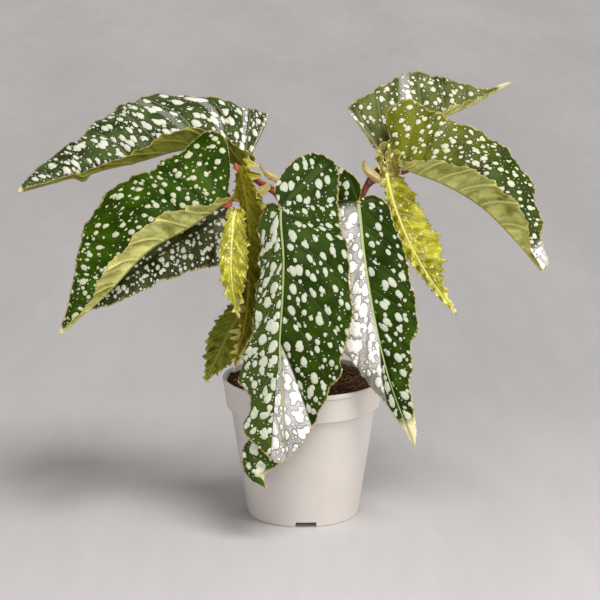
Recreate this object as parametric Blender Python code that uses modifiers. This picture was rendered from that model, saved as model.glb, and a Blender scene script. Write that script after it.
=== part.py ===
"""A potted angel-wing begonia: a nursery pot, its soil, two jointed canes and eleven lopsided leaves.

The origin is on the ground under the middle of the pot. X runs across the plant's wide side, Y to its
back and Z up. Lengths in this file are millimetres; MM turns them into Blender's metres.
"""
import math
import random

import bmesh
import bpy
import numpy as np

MM = 0.001
GAP = 0.3                       # clearance between pieces that touch
COLLECTION = "potted_begonia"

# Pot: a 12 cm nursery pot
POT_HEIGHT = 104.8
RIM_RADIUS = 60.0
LIP_HEIGHT = 3.2                # the lip at the very top, proud of the collar
COLLAR_HEIGHT = 21.3            # from the pot's top down to the collar's lower edge
COLLAR_RADIUS_TOP = 59.2
COLLAR_RADIUS_LOW = 57.2
BODY_RADIUS_TOP = 54.0          # just under the collar
BASE_RADIUS = 41.6
WALL = 1.5
FLOOR = 5.6
SHOULDER = 1.4                  # inside, the wall steps in over this height above and below the collar's edge
POT_SIDES = 32
DRAIN_SLOTS = 4
DRAIN_SLOT_WIDTH = 16.0
DRAIN_SLOT_HEIGHT = 4.0
DRAIN_SLOT_INNER = 20.0         # how near the axis a slot reaches
DRAIN_SLOT_TURN = math.radians(3)
DRAIN_HOLE_RADIUS = 3.5
DRAIN_HOLE_PLACE = 27.0
DRAIN_HOLE_SIDES = 8
CUTTER_REACH = 10.0             # how far a cutter stands out of what it cuts
CANE_HOLE_SIDES = 16

# Soil
SOIL_TOP = 96.0
SOIL_RINGS = 6
SOIL_SIDES = POT_SIDES
SOIL_LUMP = 1.4                 # how far its surface rises and falls
SOIL_HOLE_DEPTH = 42.0
SOIL_SEED = 11
SOIL_SIDE_GAP = 2.5 * GAP       # wide enough for the flats of the turned pot

# Leaf blades
BLADE = 0.8                     # thickness between the veins
RIB = 2.4                       # thickness of the midrib at the stalk
RIB_AT_TIP = 1.0
RIB_HALF_WIDTH = 2.2
FOOT_LAG = 1.25                 # side veins crowd together toward the tip
MIDRIB_SAMPLES = 400
MARGIN_SAMPLES = 600
TANGENT_REACH = 1.5             # the midrib's direction is taken over this much on each side
CURL_STEPS = 12
GROWN_WIDE_COLUMNS = (0.42, 0.78, 1.0)       # shares of the way from the midrib to the margin
GROWN_NARROW_COLUMNS = (0.50, 1.0)
YOUNG_COLUMNS = (0.0, 0.5, 1.0)

# The margin of each half, laid flat: (along, across). Along counts in lobe lengths behind the stalk and
# in blade lengths ahead of it, across in widths of that half.
WIDE_TAPER = [(0.08, 0.98), (0.26, 1.0), (0.43, 0.93), (0.57, 0.78), (0.69, 0.57), (0.80, 0.34),
              (0.90, 0.14), (1.0, 0.0)]
ROUND_LOBE = [(0.0, 0.0), (-0.42, -0.08), (-0.84, 0.06), (-1.0, 0.36), (-0.86, 0.66), (-0.38, 0.89),
              *WIDE_TAPER]
ANGLED_LOBE = [(0.0, 0.0), (-0.32, 0.19), (-0.66, 0.40), (-0.98, 0.62), (-0.76, 0.78), (-0.32, 0.90),
               *WIDE_TAPER]
NARROW = [(0.0, 0.0), (-0.55, 0.16), (-1.0, 0.42), (-0.60, 0.74), (0.08, 0.94), (0.24, 1.0),
          (0.40, 0.94), (0.54, 0.80), (0.68, 0.59), (0.80, 0.35), (0.90, 0.14), (1.0, 0.0)]
SLIM = [(0.0, 0.0), (-0.6, 0.10), (-1.0, 0.28), (-0.4, 0.46), (0.10, 0.66), (0.28, 0.90),
        (0.45, 1.0), (0.60, 0.90), (0.73, 0.66), (0.84, 0.38), (0.93, 0.14), (1.0, 0.0)]
FAN_SHARE = {"wide": 0.30, "narrow": 0.22}   # share of the margin served by veins from the stalk itself
HALVES = ("wide", "narrow")

# Canes and stalks
CANE_RADIUS = 3.6
CANE_TIP_RADIUS = 2.2
CANE_JOINT_SWELL = 1.25         # a cane is this much thicker at its joints
STALK_RADIUS = 2.1
STALK_END_RADIUS = 1.5
STALK_END_GAP = 2 * GAP         # between a stalk's slanting end and the rib over it
CANE_JOINT_LENGTH = 0.025       # of the cane's length
STALK_STEP = 6.0                # distance between the rings of a tube
CANE_FOOT = SOIL_TOP - SOIL_HOLE_DEPTH + 2 * GAP

# Stipules
STIPULE_ROWS = 5
STIPULE_COLUMNS = (-1.0, -0.5, 0.0, 0.5, 1.0)
STIPULE_FOOT = 0.45             # its share of the full width at the foot
STIPULE_CUP = 0.35              # how far its edges bend back, in half widths

# A full-grown leaf's ruffles, and a young leaf's
GROWN = {"veins": 7, "fan_veins": 2, "rows": 3, "bulge": 1.0, "wave": 1.6, "tooth": 0.03}
YOUNG = {"veins": 6, "fan_veins": 1, "rows": 3, "bulge": 0.5, "wave": 1.2, "tooth": 0.10}

# Each leaf's midrib runs through six stations: behind the stalk, at the stalk, three between and the tip.
# A station is its point, the way the upper face looks there, and by how many degrees the wide and the
# narrow half are raised toward that face. side is 1 where the wide half lies on the midrib's right, seen
# on that face with the tip ahead. curl bends a half back down over its width, and full pushes its widest
# part toward the tip.
LEAVES = {
    "leaf_upper_left": {
        "grow": GROWN, "side": 1, "seed": 1,
        "wide": {"outline": ANGLED_LOBE, "width": 58, "lobe": 8, "curl": 30, "full": 1.0},
        "narrow": {"outline": NARROW, "width": 17, "lobe": 5, "curl": 0, "full": 1.0},
        "stations": [((-24, 16, 255), (0, 0, 1), 66, 50),
                     ((-43, 14, 261), (0, 0, 1), 54, 50),
                     ((-83, 14, 274), (0, 0, 1), 51, 55),
                     ((-120, 8, 266), (0, -0.1, 1), 48, 50),
                     ((-159, 0, 258), (0, -0.1, 1), 38, 40),
                     ((-208, -10, 246), (0, -0.2, 1), 10, 20)]},
    "leaf_front_left": {
        "grow": GROWN, "side": 1, "seed": 2,
        "wide": {"outline": ANGLED_LOBE, "width": 61, "lobe": 20, "curl": 30, "full": 1.0},
        "narrow": {"outline": NARROW, "width": 30, "lobe": 6, "curl": 0, "full": 1.0},
        "stations": [((-34, -22, 254), (0.1, -0.1, 1), 64, 20),
                     ((-56, -26, 242), (0, -0.1, 1), 60, 25),
                     ((-81, -36, 226), (-0.2, -0.2, 1), 55, 50),
                     ((-109, -48, 212), (-0.4, -0.2, 0.9), 50, 60),
                     ((-142, -60, 180), (-0.6, -0.3, 0.7), 45, 50),
                     ((-174, -66, 153), (-0.6, -0.3, 0.7), 15, 30)]},
    "leaf_back_left": {
        "grow": GROWN, "side": -1, "seed": 3,
        "wide": {"outline": ROUND_LOBE, "width": 30, "lobe": 8, "curl": 15, "full": 0.9},
        "narrow": {"outline": NARROW, "width": 28, "lobe": 8, "curl": 0, "full": 1.0},
        "stations": [((-45, 10, 230), (0, -0.9, 0.5), 5, 5),
                     ((-57, 6, 227), (0, -0.9, 0.5), 5, 5),
                     ((-79, -4, 217), (-0.1, -0.9, 0.5), 5, 5),
                     ((-104, -14, 202), (-0.1, -0.9, 0.5), 5, 5),
                     ((-130, -24, 185), (-0.1, -0.9, 0.5), 5, 5),
                     ((-156, -30, 162), (-0.1, -0.9, 0.5), 5, 5)]},
    "leaf_centre": {
        "grow": GROWN, "side": -1, "seed": 4,
        "wide": {"outline": ROUND_LOBE, "width": 53, "lobe": 50, "curl": 15, "full": 1.35},
        "narrow": {"outline": NARROW, "width": 31, "lobe": 5, "curl": 10, "full": 2.5},
        "stations": [((-11, -26, 268), (0.15, -0.85, 0.5), -8, -45),
                     ((-16, -46, 240), (0.1, -1, 0.3), -7, -50),
                     ((-14, -70, 207), (0.05, -1, 0.2), -6, -48),
                     ((-16, -84, 161), (0, -1, 0.1), -4, -32),
                     ((-20, -88, 111), (0, -1, 0.1), 0, -26),
                     ((-25, -84, 43), (0, -1, 0.1), 0, 0)]},
    "leaf_centre_right": {
        "grow": GROWN, "side": 1, "seed": 5,
        "wide": {"outline": ROUND_LOBE, "width": 37, "lobe": 38, "curl": 15, "full": 0.95},
        "narrow": {"outline": NARROW, "width": 36, "lobe": 5, "curl": 8, "full": 1.05},
        "stations": [((37, -8, 254), (0, -0.8, 0.6), -20, -14),
                     ((40, -20, 240), (0, -1, 0.4), -15, -16),
                     ((44, -40, 205), (0, -1, 0.2), 0, -15),
                     ((50, -52, 168), (0, -1, 0.15), 4, -10),
                     ((61, -58, 121), (0, -1, 0.15), 0, -10),
                     ((81, -56, 66), (0, -1, 0.1), 0, 0)]},
    "leaf_upper_right": {
        "grow": GROWN, "side": -1, "seed": 6,
        "wide": {"outline": ANGLED_LOBE, "width": 50, "lobe": 5, "curl": 10, "full": 1.0},
        "narrow": {"outline": NARROW, "width": 16, "lobe": 5, "curl": 0, "full": 1.0},
        "stations": [((42, 8, 258), (-0.2, -0.2, 1), 54, 70),
                     ((59, 16, 267), (-0.2, -0.2, 1), 51, 65),
                     ((79, 30, 281), (-0.1, -0.2, 1), 46, 45),
                     ((106, 48, 293), (0, -0.2, 1), 40, 45),
                     ((131, 64, 302), (0, -0.2, 1), 26, 40),
                     ((158, 80, 315), (0, -0.2, 1), 10, 20)]},
    "leaf_right": {
        "grow": GROWN, "side": -1, "seed": 7,
        "wide": {"outline": ANGLED_LOBE, "width": 54, "lobe": 30, "curl": 30, "full": 1.25},
        "narrow": {"outline": NARROW, "width": 32, "lobe": 6, "curl": 0, "full": 1.6},
        "stations": [((59, 4, 269), (-0.1, -0.1, 1), 66, 35),
                     ((74, 0, 262), (0, -0.1, 1), 66, 35),
                     ((102, -12, 253), (0.2, -0.1, 1), 60, 50),
                     ((131, -24, 237), (0.4, -0.1, 0.9), 53, 55),
                     ((152, -34, 217), (0.6, -0.2, 0.8), 40, 50),
                     ((172, -40, 194), (0.7, -0.2, 0.7), 25, 30)]},
    "young_leaf_right": {
        "grow": YOUNG, "side": -1, "seed": 8,
        "wide": {"outline": SLIM, "width": 21, "lobe": 3, "curl": 10, "full": 1.0},
        "narrow": {"outline": SLIM, "width": 7, "lobe": 3, "curl": 0, "full": 1.0},
        "stations": [((60, -2, 265), (0.2, -1, 0.3), 0, -20),
                     ((61, -5, 259), (0.2, -1, 0.3), 0, -20),
                     ((66, -7, 239), (0.2, -1, 0.3), 0, -20),
                     ((76, -10, 213), (0.2, -1, 0.3), 0, -20),
                     ((90, -11, 187), (0.2, -1, 0.3), 0, -20),
                     ((114, -12, 154), (0.2, -1, 0.3), 0, 0)]},
    "young_leaf_left": {
        "grow": YOUNG, "side": -1, "seed": 9,
        "wide": {"outline": SLIM, "width": 12, "lobe": 4, "curl": 10, "full": 1.0},
        "narrow": {"outline": SLIM, "width": 8, "lobe": 3, "curl": 0, "full": 1.0},
        "stations": [((-47, -14, 238), (-0.3, -1, 0.3), 0, 10),
                     ((-49, -18, 233), (-0.3, -1, 0.3), 0, 10),
                     ((-51, -28, 218), (-0.3, -1, 0.3), 0, 10),
                     ((-52, -34, 199), (-0.3, -1, 0.3), 0, 10),
                     ((-51, -36, 180), (-0.3, -1, 0.3), 0, 10),
                     ((-47, -36, 158), (-0.3, -1, 0.3), 0, 0)]},
    "young_leaf_hanging": {
        "grow": YOUNG, "side": 1, "seed": 10,
        "wide": {"outline": SLIM, "width": 14, "lobe": 6, "curl": 10, "full": 1.0},
        "narrow": {"outline": SLIM, "width": 12, "lobe": 4, "curl": 0, "full": 1.0},
        "stations": [((-46, 4, 267), (0.5, 1, 0.3), 20, 50),
                     ((-46, -2, 262), (0.5, 1, 0.3), 14, 50),
                     ((-41, -18, 238), (0.5, 1, 0.3), 12, 50),
                     ((-39, -26, 199), (0.5, 1, 0.3), 14, 50),
                     ((-42, -28, 154), (0.5, 1, 0.3), 20, 50),
                     ((-51, -26, 115), (0.5, 1, 0.3), 0, 0)]},
    "leaf_lower_left": {
        "grow": YOUNG, "side": -1, "seed": 11,
        "wide": {"outline": SLIM, "width": 12, "lobe": 6, "curl": 10, "full": 1.0},
        "narrow": {"outline": SLIM, "width": 14, "lobe": 4, "curl": 0, "full": 1.0},
        "stations": [((-38, 2, 172), (0.3, 1, 0.3), 0, 0),
                     ((-41, -2, 166), (0.3, 1, 0.3), 0, 0),
                     ((-48, -7, 152), (0.3, 1, 0.3), 0, 0),
                     ((-56, -11, 138), (0.3, 1, 0.3), 0, 0),
                     ((-64, -15, 122), (0.3, 1, 0.3), 0, 0),
                     ((-73, -18, 104), (0.3, 1, 0.3), 0, 0)]},
}

# Canes: the way each runs up from its foot in the soil, the shares of its length where its joints are,
# and each stalk's leaf with the share of the cane where it leaves and the points that it bends through.
CANES = {
    "cane_left": {
        "path": [(-8, 8, CANE_FOOT), (-8, 8, SOIL_TOP), (-10, 10, 140), (-11, 9, 190), (-15, 6, 234),
                 (-20, 6, 242), (-31, 9, 249), (-41, 13, 255)],
        "joints": [0.42, 0.60, 0.76, 0.92],
        "stalks": {
            "leaf_upper_left": (0.97, (-42, 15, 256)),
            "leaf_front_left": (0.76, (-40, 4, 238), (-53, -10, 240)),
            "leaf_back_left": (0.60, (-36, 12, 214)),
            "leaf_centre": (0.76, (-16, -22, 240)),
            "young_leaf_left": (0.60, (-38, 0, 222), (-48, -8, 228)),
            "young_leaf_hanging": (0.92, (-48, 7, 262)),
            "leaf_lower_left": (0.42, (-30, -4, 170)),
        }},
    "cane_right": {
        "path": [(15, 5, CANE_FOOT), (15, 5, SOIL_TOP), (20, 6, 140), (29, 5, 190), (42, 2, 238),
                 (52, 5, 256), (58, 7, 262)],
        "joints": [0.42, 0.60, 0.78, 0.95],
        "stalks": {
            "leaf_centre_right": (0.78, (42, -6, 238)),
            "leaf_upper_right": (0.97, (60, 10, 263)),
            "leaf_right": (0.92, (67, 4, 260)),
            "young_leaf_right": (0.92, (62, 1, 258)),
        }},
}

# Papery stipules at the upper joints: foot, tip, the way the face looks and the half width.
STIPULES = {
    "stipule_left_upper": ((-16, 0, 252), (-31, 1, 265), (0.3, -1, 0.2), 4.0),
    "stipule_left_lower": ((-25, 1, 250), (-35, -9, 237), (-0.2, -1, 0.3), 4.0),
    "stipule_right_upper": ((56, -4, 252), (45, -8, 270), (-0.3, -1, 0.2), 4.5),
    "stipule_right_lower": ((36, 10, 226), (31, 16, 244), (-0.4, 1, 0.2), 4.5),
}


def unit(vectors):
    """Vectors of length one, along the last axis."""
    vectors = np.asarray(vectors, float)
    length = np.linalg.norm(vectors, axis=-1, keepdims=True)
    return vectors / np.maximum(length, 1e-9)


def run_along(points):
    """How far along a chain of points each one lies."""
    steps = np.linalg.norm(np.diff(points, axis=0), axis=1)
    return np.concatenate([[0.0], np.cumsum(steps)])


def smooth_through(knots, values, at):
    """A smooth curve through values at knots, read at the places in `at`."""
    knots = np.asarray(knots, float)
    values = np.asarray(values, float)
    slope = np.gradient(values, knots, axis=0)
    at = np.clip(np.asarray(at, float), knots[0], knots[-1])
    i = np.clip(np.searchsorted(knots, at, side="right") - 1, 0, len(knots) - 2)
    step = (knots[i + 1] - knots[i])[:, None]
    t = (at - knots[i])[:, None] / step
    start = (2 * t**3 - 3 * t**2 + 1) * values[i] + (t**3 - 2 * t**2 + t) * slope[i] * step
    end = (3 * t**2 - 2 * t**3) * values[i + 1] + (t**3 - t**2) * slope[i + 1] * step
    return start + end


class Midrib:
    """A leaf's midrib: a smooth line through its stations, with the faces and folds along it."""

    def __init__(self, stations):
        points = np.array([station[0] for station in stations], float)
        chord = run_along(points)
        fine_at = np.linspace(0, chord[-1], MIDRIB_SAMPLES)
        self.line = smooth_through(chord, points, fine_at)
        run = run_along(self.line)
        knots = np.interp(chord, fine_at, run)
        self.run = run - knots[1]               # the stalk joins at the second station
        self.knots = knots - knots[1]
        self.length = self.run[-1]
        self.faces = unit([station[1] for station in stations])
        self.folds = np.array([station[2:4] for station in stations], float)

    def point(self, along):
        """The point at a distance along the midrib."""
        return np.stack([np.interp(along, self.run, self.line[:, k]) for k in range(3)], -1)

    def frame(self, along):
        """Point, forward direction, upward direction and the two fold angles at distances along."""
        inside = np.clip(along, self.run[0] + TANGENT_REACH, self.run[-1] - TANGENT_REACH)
        forward = unit(self.point(inside + TANGENT_REACH) - self.point(inside - TANGENT_REACH))
        point = self.point(along)
        behind = np.minimum(along - self.run[0], 0.0)
        point = point + behind[..., None] * forward
        flat = along.ravel()
        up = smooth_through(self.knots, self.faces, flat).reshape(along.shape + (3,))
        up = unit(up - (up * forward).sum(-1, keepdims=True) * forward)
        folds = smooth_through(self.knots, self.folds, flat).reshape(along.shape + (2,))
        return point, forward, up, np.radians(folds)


def margin_points(half, length, shares):
    """Flat points (along, across) on a half's margin, at shares of its run from stalk to tip."""
    flat = []
    for along, across in half["outline"]:
        reach = along * half["lobe"] if along < 0 else length * along ** (1 / half["full"])
        flat.append((reach, across * half["width"]))
    flat = np.array(flat)
    chord = run_along(flat)
    fine = smooth_through(chord, flat, np.linspace(0, chord[-1], MARGIN_SAMPLES))
    run = run_along(fine)
    wanted = np.asarray(shares) * run[-1]
    return np.stack([np.interp(wanted, run, fine[:, k]) for k in (0, 1)], 1)


def blade_points(leaf, midrib, name, columns):
    """Rows of points from the sinus to the tip on one half; a row runs from the midrib to the margin."""
    grow = leaf["grow"]
    half = leaf[name]
    fan_rows = grow["fan_veins"] * grow["rows"]
    main_rows = grow["veins"] * grow["rows"]
    fan = FAN_SHARE[name]
    ahead = np.linspace(0, 1, main_rows + 1)[1:]
    fan_shares = fan * np.linspace(0, 1, fan_rows + 1)[1:]
    shares = np.concatenate([fan_shares, fan + (1 - fan) * ahead])
    vein = np.concatenate([np.arange(1, fan_rows + 1), fan_rows + np.arange(1, main_rows + 1)]) / grow["rows"]
    foot = np.concatenate([np.zeros(fan_rows), midrib.length * ahead ** FOOT_LAG])
    edge = margin_points(half, midrib.length, shares)

    # the ends of the side veins stand out as teeth, and the panels between them bulge and wave
    on_vein = np.cos(2 * math.pi * vein)
    tooth = 1 + grow["tooth"] * on_vein * np.sin(math.pi * shares) ** 0.5
    edge = foot[:, None] * [1, 0] + (edge - foot[:, None] * [1, 0]) * tooth[:, None]
    out = np.array(columns)[None, :]
    along = foot[:, None] + (edge[:, :1] - foot[:, None]) * out
    across = edge[:, 1:] * out

    point, forward, up, folds = midrib.frame(along)
    toward = np.cross(forward, up) * leaf["side"] * (1 if name == "wide" else -1)
    raised = folds[..., HALVES.index(name)]
    curl = math.radians(half["curl"]) / half["width"]
    flat_reach = np.zeros_like(across)
    rise = np.zeros_like(across)
    for i in range(CURL_STEPS):
        angle = raised - curl * across * (i + 0.5) / CURL_STEPS
        flat_reach += np.cos(angle) * across / CURL_STEPS
        rise += np.sin(angle) * across / CURL_STEPS
    angle = (raised - curl * across)[..., None]
    normal = up * np.cos(angle) - toward * np.sin(angle)
    fade = np.minimum(across / half["width"], 1) * (1 - shares[:, None] ** 6)
    bulge = grow["bulge"] * (1 - on_vein[:, None]) / 2 * np.sin(math.pi * out)
    wave = grow["wave"] * np.cos(2 * math.pi * vein + leaf["seed"])[:, None] * out ** 3
    lift = fade * (bulge + wave)
    return point + toward * flat_reach[..., None] + up * rise[..., None] + normal * lift[..., None]


def new_material(name, colour, roughness, sheen=0.0):
    """A plain Principled material."""
    material = bpy.data.materials.get(name)
    if material:
        return material
    material = bpy.data.materials.new(name)
    material.use_nodes = True
    shader = material.node_tree.nodes["Principled BSDF"]
    shader.inputs["Base Color"].default_value = (*colour, 1.0)
    shader.inputs["Roughness"].default_value = roughness
    shader.inputs["Metallic"].default_value = 0.0
    shader.inputs["Sheen Weight"].default_value = sheen
    return material


def add_object(name, mesh, material, collection, smooth_angle=30):
    """Put a mesh in a collection under a name, with its material, shaded smooth but for sharp edges."""
    shaped = bpy.data.objects.new(name, mesh)
    collection.objects.link(shaped)
    mesh.materials.clear()
    mesh.materials.append(material)
    mesh.shade_smooth()
    mesh.set_sharp_from_angle(angle=math.radians(smooth_angle))
    return shaped


def place_origin(shaped, origin):
    """Give an object its origin at a point, without moving its shape."""
    for vertex in shaped.data.vertices:
        vertex.co.x -= origin[0]
        vertex.co.y -= origin[1]
        vertex.co.z -= origin[2]
    shaped.location = origin


def apply_modifiers(shaped):
    """Replace an object's mesh by what its modifiers make of it."""
    bpy.context.view_layer.update()
    evaluated = shaped.evaluated_get(bpy.context.evaluated_depsgraph_get())
    mesh = bpy.data.meshes.new_from_object(evaluated)
    shaped.modifiers.clear()
    shaped.data = mesh


def thin_shell(shaped, thickness, thinnest):
    """Give an open sheet its thickness, below its upper face, by its vertex group's weights."""
    solid = shaped.modifiers.new("Thickness", "SOLIDIFY")
    solid.thickness = thickness * MM
    solid.offset = -1
    solid.vertex_group = "thickness"
    solid.thickness_vertex_group = thinnest / thickness


def make_leaf(name, leaf, collection):
    """One blade: both halves share the midrib, and the midrib is a thicker rib on the underside."""
    midrib = Midrib(leaf["stations"])
    columns = {"wide": (0.0, RIB_HALF_WIDTH / leaf["wide"]["width"], *GROWN_WIDE_COLUMNS),
               "narrow": (0.0, RIB_HALF_WIDTH / leaf["narrow"]["width"], *GROWN_NARROW_COLUMNS)}
    if leaf["grow"] is YOUNG:
        columns = {half: YOUNG_COLUMNS for half in HALVES}
    shape = bmesh.new()
    weights = []

    def vertex(point, weight):
        weights.append(weight)
        return shape.verts.new(point * MM)

    halves = {half: blade_points(leaf, midrib, half, columns[half]) for half in HALVES}
    fan_rows = leaf["grow"]["fan_veins"] * leaf["grow"]["rows"]
    main_rows = leaf["grow"]["veins"] * leaf["grow"]["rows"]
    stalk = vertex(midrib.point(0.0), 1.0)
    taper = np.linspace(1, RIB_AT_TIP / RIB, main_rows + 1)[1:]
    feet = [vertex(halves["wide"][fan_rows + i, 0], taper[i]) for i in range(main_rows)]
    for half in HALVES:
        points = halves[half]
        grid = []
        for row in range(fan_rows + main_rows):
            foot = stalk if row < fan_rows else feet[row - fan_rows]
            if row == fan_rows + main_rows - 1:
                grid.append([foot] * len(columns[half]))
                continue
            grid.append([foot] + [vertex(point, 0.0) for point in points[row, 1:]])
        flip = (leaf["side"] > 0) != (half == "wide")
        for low, high in zip(grid[:-1], grid[1:]):
            for i in range(len(low) - 1):
                for corners in ((low[i], low[i + 1], high[i + 1]), (low[i], high[i + 1], high[i])):
                    if len(set(corners)) < 3:
                        continue
                    shape.faces.new(corners[::-1] if flip else corners)
    mesh = bpy.data.meshes.new(name)
    shape.to_mesh(mesh)
    shape.free()
    green = new_material("leaf_green", (0.035, 0.075, 0.02), 0.35)
    young = new_material("young_leaf_green", (0.30, 0.34, 0.05), 0.45)
    shaped = add_object(name, mesh, young if leaf["grow"] is YOUNG else green, collection)
    group = shaped.vertex_groups.new(name="thickness")
    for index, weight in enumerate(weights):
        group.add([index], weight, "REPLACE")
    thin_shell(shaped, RIB, BLADE)
    place_origin(shaped, midrib.point(0.0) * MM)
    return midrib


def turned(name, profile, sides, material, collection):
    """Turn a profile of (radius, height) points round the Z axis with a Screw modifier."""
    mesh = bpy.data.meshes.new(name)
    points = [(radius * MM, 0, height * MM) for radius, height in profile]
    edges = [(i, i + 1) for i in range(len(points) - 1)]
    mesh.from_pydata(points, edges, [])
    shaped = bpy.data.objects.new(name, mesh)
    collection.objects.link(shaped)
    mesh.materials.append(material)
    screw = shaped.modifiers.new("Turn", "SCREW")
    screw.steps = sides
    screw.render_steps = sides
    screw.use_merge_vertices = True
    screw.merge_threshold = 0.00005
    screw.use_smooth_shade = True
    return shaped


def body_radius(height):
    """The pot's outer radius at a height below its collar."""
    return BASE_RADIUS + (BODY_RADIUS_TOP - BASE_RADIUS) * height / (POT_HEIGHT - COLLAR_HEIGHT)


def pot_inner_profile():
    """The inside of the pot, from its lip down to the middle of its floor."""
    collar_low = POT_HEIGHT - COLLAR_HEIGHT
    return [(COLLAR_RADIUS_TOP - WALL, POT_HEIGHT),
            (COLLAR_RADIUS_LOW - WALL, collar_low + SHOULDER),
            (body_radius(collar_low) - WALL, collar_low - SHOULDER),
            (body_radius(FLOOR) - WALL, FLOOR),
            (0.0, FLOOR)]


def pot_outer_profile():
    """The outside of the pot, from its lip down to the middle of its foot."""
    collar_low = POT_HEIGHT - COLLAR_HEIGHT
    lip_low = POT_HEIGHT - LIP_HEIGHT
    return [(RIM_RADIUS, POT_HEIGHT),
            (RIM_RADIUS, lip_low),
            (COLLAR_RADIUS_TOP, lip_low),
            (COLLAR_RADIUS_LOW, collar_low),
            (BODY_RADIUS_TOP, collar_low),
            (BASE_RADIUS, 0.0),
            (0.0, 0.0)]


def add_cutter(name, mesh, collection):
    """A cutter: hidden in renders, drawn as wire."""
    cutter = bpy.data.objects.new(name, mesh)
    collection.objects.link(cutter)
    cutter.hide_render = True
    cutter.display_type = "WIRE"
    return cutter


def box_mesh(name, low, high):
    """A box between two corners."""
    shape = bmesh.new()
    bmesh.ops.create_cube(shape, size=1.0)
    for vertex in shape.verts:
        for k in range(3):
            middle = (low[k] + high[k]) / 2
            vertex.co[k] = (middle + vertex.co[k] * (high[k] - low[k])) * MM
    mesh = bpy.data.meshes.new(name)
    shape.to_mesh(mesh)
    shape.free()
    return mesh


def rod_mesh(name, radius, low, high, sides):
    """An upright rod on the Z axis between two heights."""
    shape = bmesh.new()
    bmesh.ops.create_cone(shape, cap_ends=True, segments=sides, radius1=radius * MM, radius2=radius * MM,
                          depth=(high - low) * MM)
    bmesh.ops.translate(shape, verts=shape.verts, vec=(0, 0, (low + high) / 2 * MM))
    mesh = bpy.data.meshes.new(name)
    shape.to_mesh(mesh)
    shape.free()
    return mesh


def cut(shaped, cutter):
    """Take a cutter's shape out of an object."""
    boolean = shaped.modifiers.new("Cut", "BOOLEAN")
    boolean.operation = "DIFFERENCE"
    boolean.object = cutter


def make_pot(collection, cutters):
    """The turned pot, with slots under its foot that lead in from the side to the drain holes."""
    plastic = new_material("pot_plastic", (0.62, 0.57, 0.53), 0.5)
    profile = pot_inner_profile()[::-1] + pot_outer_profile()
    pot = turned("pot", profile, POT_SIDES, plastic, collection)
    for i in range(DRAIN_SLOTS):
        turn = DRAIN_SLOT_TURN + i * 2 * math.pi / DRAIN_SLOTS
        slot_mesh = box_mesh("slot", (DRAIN_SLOT_INNER, -DRAIN_SLOT_WIDTH / 2, -CUTTER_REACH),
                             (BASE_RADIUS + CUTTER_REACH, DRAIN_SLOT_WIDTH / 2, DRAIN_SLOT_HEIGHT))
        slot = add_cutter(f"slot_{i + 1}", slot_mesh, cutters)
        slot.rotation_euler.z = turn - math.pi / 2
        cut(pot, slot)
        hole_mesh = rod_mesh("drain", DRAIN_HOLE_RADIUS, -CUTTER_REACH, FLOOR + CUTTER_REACH, DRAIN_HOLE_SIDES)
        hole = add_cutter(f"drain_{i + 1}", hole_mesh, cutters)
        hole.location = (DRAIN_HOLE_PLACE * math.sin(turn) * MM, -DRAIN_HOLE_PLACE * math.cos(turn) * MM, 0)
        cut(pot, hole)
    return pot


def make_soil(collection, cutters):
    """The soil fills the pot up to its uneven surface, with a plain hole for each cane."""
    mix = new_material("potting_mix", (0.05, 0.028, 0.016), 0.95)
    (lip_radius, lip_height), (low_radius, low_height) = pot_inner_profile()[:2]
    up_the_collar = (SOIL_TOP - low_height) / (lip_height - low_height)
    edge = low_radius + (lip_radius - low_radius) * up_the_collar - SOIL_SIDE_GAP
    inner = [(radius - SOIL_SIDE_GAP, height + (GAP if height == FLOOR else 0))
             for radius, height in pot_inner_profile()[1:-1]]
    surface = [(edge * i / SOIL_RINGS, SOIL_TOP) for i in range(SOIL_RINGS + 1)]
    profile = surface + inner + [(0.0, FLOOR + GAP)]
    soil = turned("soil", profile, SOIL_SIDES, mix, collection)
    apply_modifiers(soil)
    draw = random.Random(SOIL_SEED)
    for vertex in soil.data.vertices:
        if vertex.co.z > (SOIL_TOP - GAP) * MM:
            vertex.co.z += draw.uniform(-SOIL_LUMP, SOIL_LUMP) * MM
    for name, cane in CANES.items():
        x, y, _ = cane["path"][0]
        hole_mesh = rod_mesh("hole", CANE_RADIUS + 2 * GAP, SOIL_TOP - SOIL_HOLE_DEPTH,
                             SOIL_TOP + CUTTER_REACH, CANE_HOLE_SIDES)
        hole = add_cutter(f"hole_{name}", hole_mesh, cutters)
        hole.location = (x * MM, y * MM, 0)
        cut(soil, hole)
    return soil


def tube(name, points, radii, material, collection):
    """A tube along points, as a mesh with its caps welded on. Its radius changes along it."""
    curve = bpy.data.curves.new(name, "CURVE")
    curve.dimensions = "3D"
    curve.bevel_depth = MM
    curve.bevel_resolution = 2
    curve.use_fill_caps = True
    spline = curve.splines.new("POLY")
    spline.points.add(len(points) - 1)
    for spot, point, radius in zip(spline.points, points, radii):
        spot.co = (*(np.asarray(point) * MM), 1.0)
        spot.radius = radius
    guide = bpy.data.objects.new(name + "_line", curve)
    collection.objects.link(guide)
    bpy.context.view_layer.update()
    evaluated = guide.evaluated_get(bpy.context.evaluated_depsgraph_get())
    mesh = bpy.data.meshes.new_from_object(evaluated)
    bpy.data.objects.remove(guide)
    shape = bmesh.new()
    shape.from_mesh(mesh)
    bmesh.ops.remove_doubles(shape, verts=shape.verts, dist=0.00002)
    shape.to_mesh(mesh)
    shape.free()
    return add_object(name, mesh, material, collection)


def even_points(points, step):
    """Points at about equal steps on a smooth curve through a few."""
    points = np.array(points, float)
    chord = run_along(points)
    count = max(3, int(chord[-1] / step) + 1)
    return smooth_through(chord, points, np.linspace(0, chord[-1], count))


def stalk_end(midrib):
    """Where a stalk ends: just clear of the rib, under the blade."""
    at_stalk = np.array([0.0])
    point, _, up, _ = midrib.frame(at_stalk)
    return (point - up * (RIB + STALK_END_RADIUS + STALK_END_GAP))[0]


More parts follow.
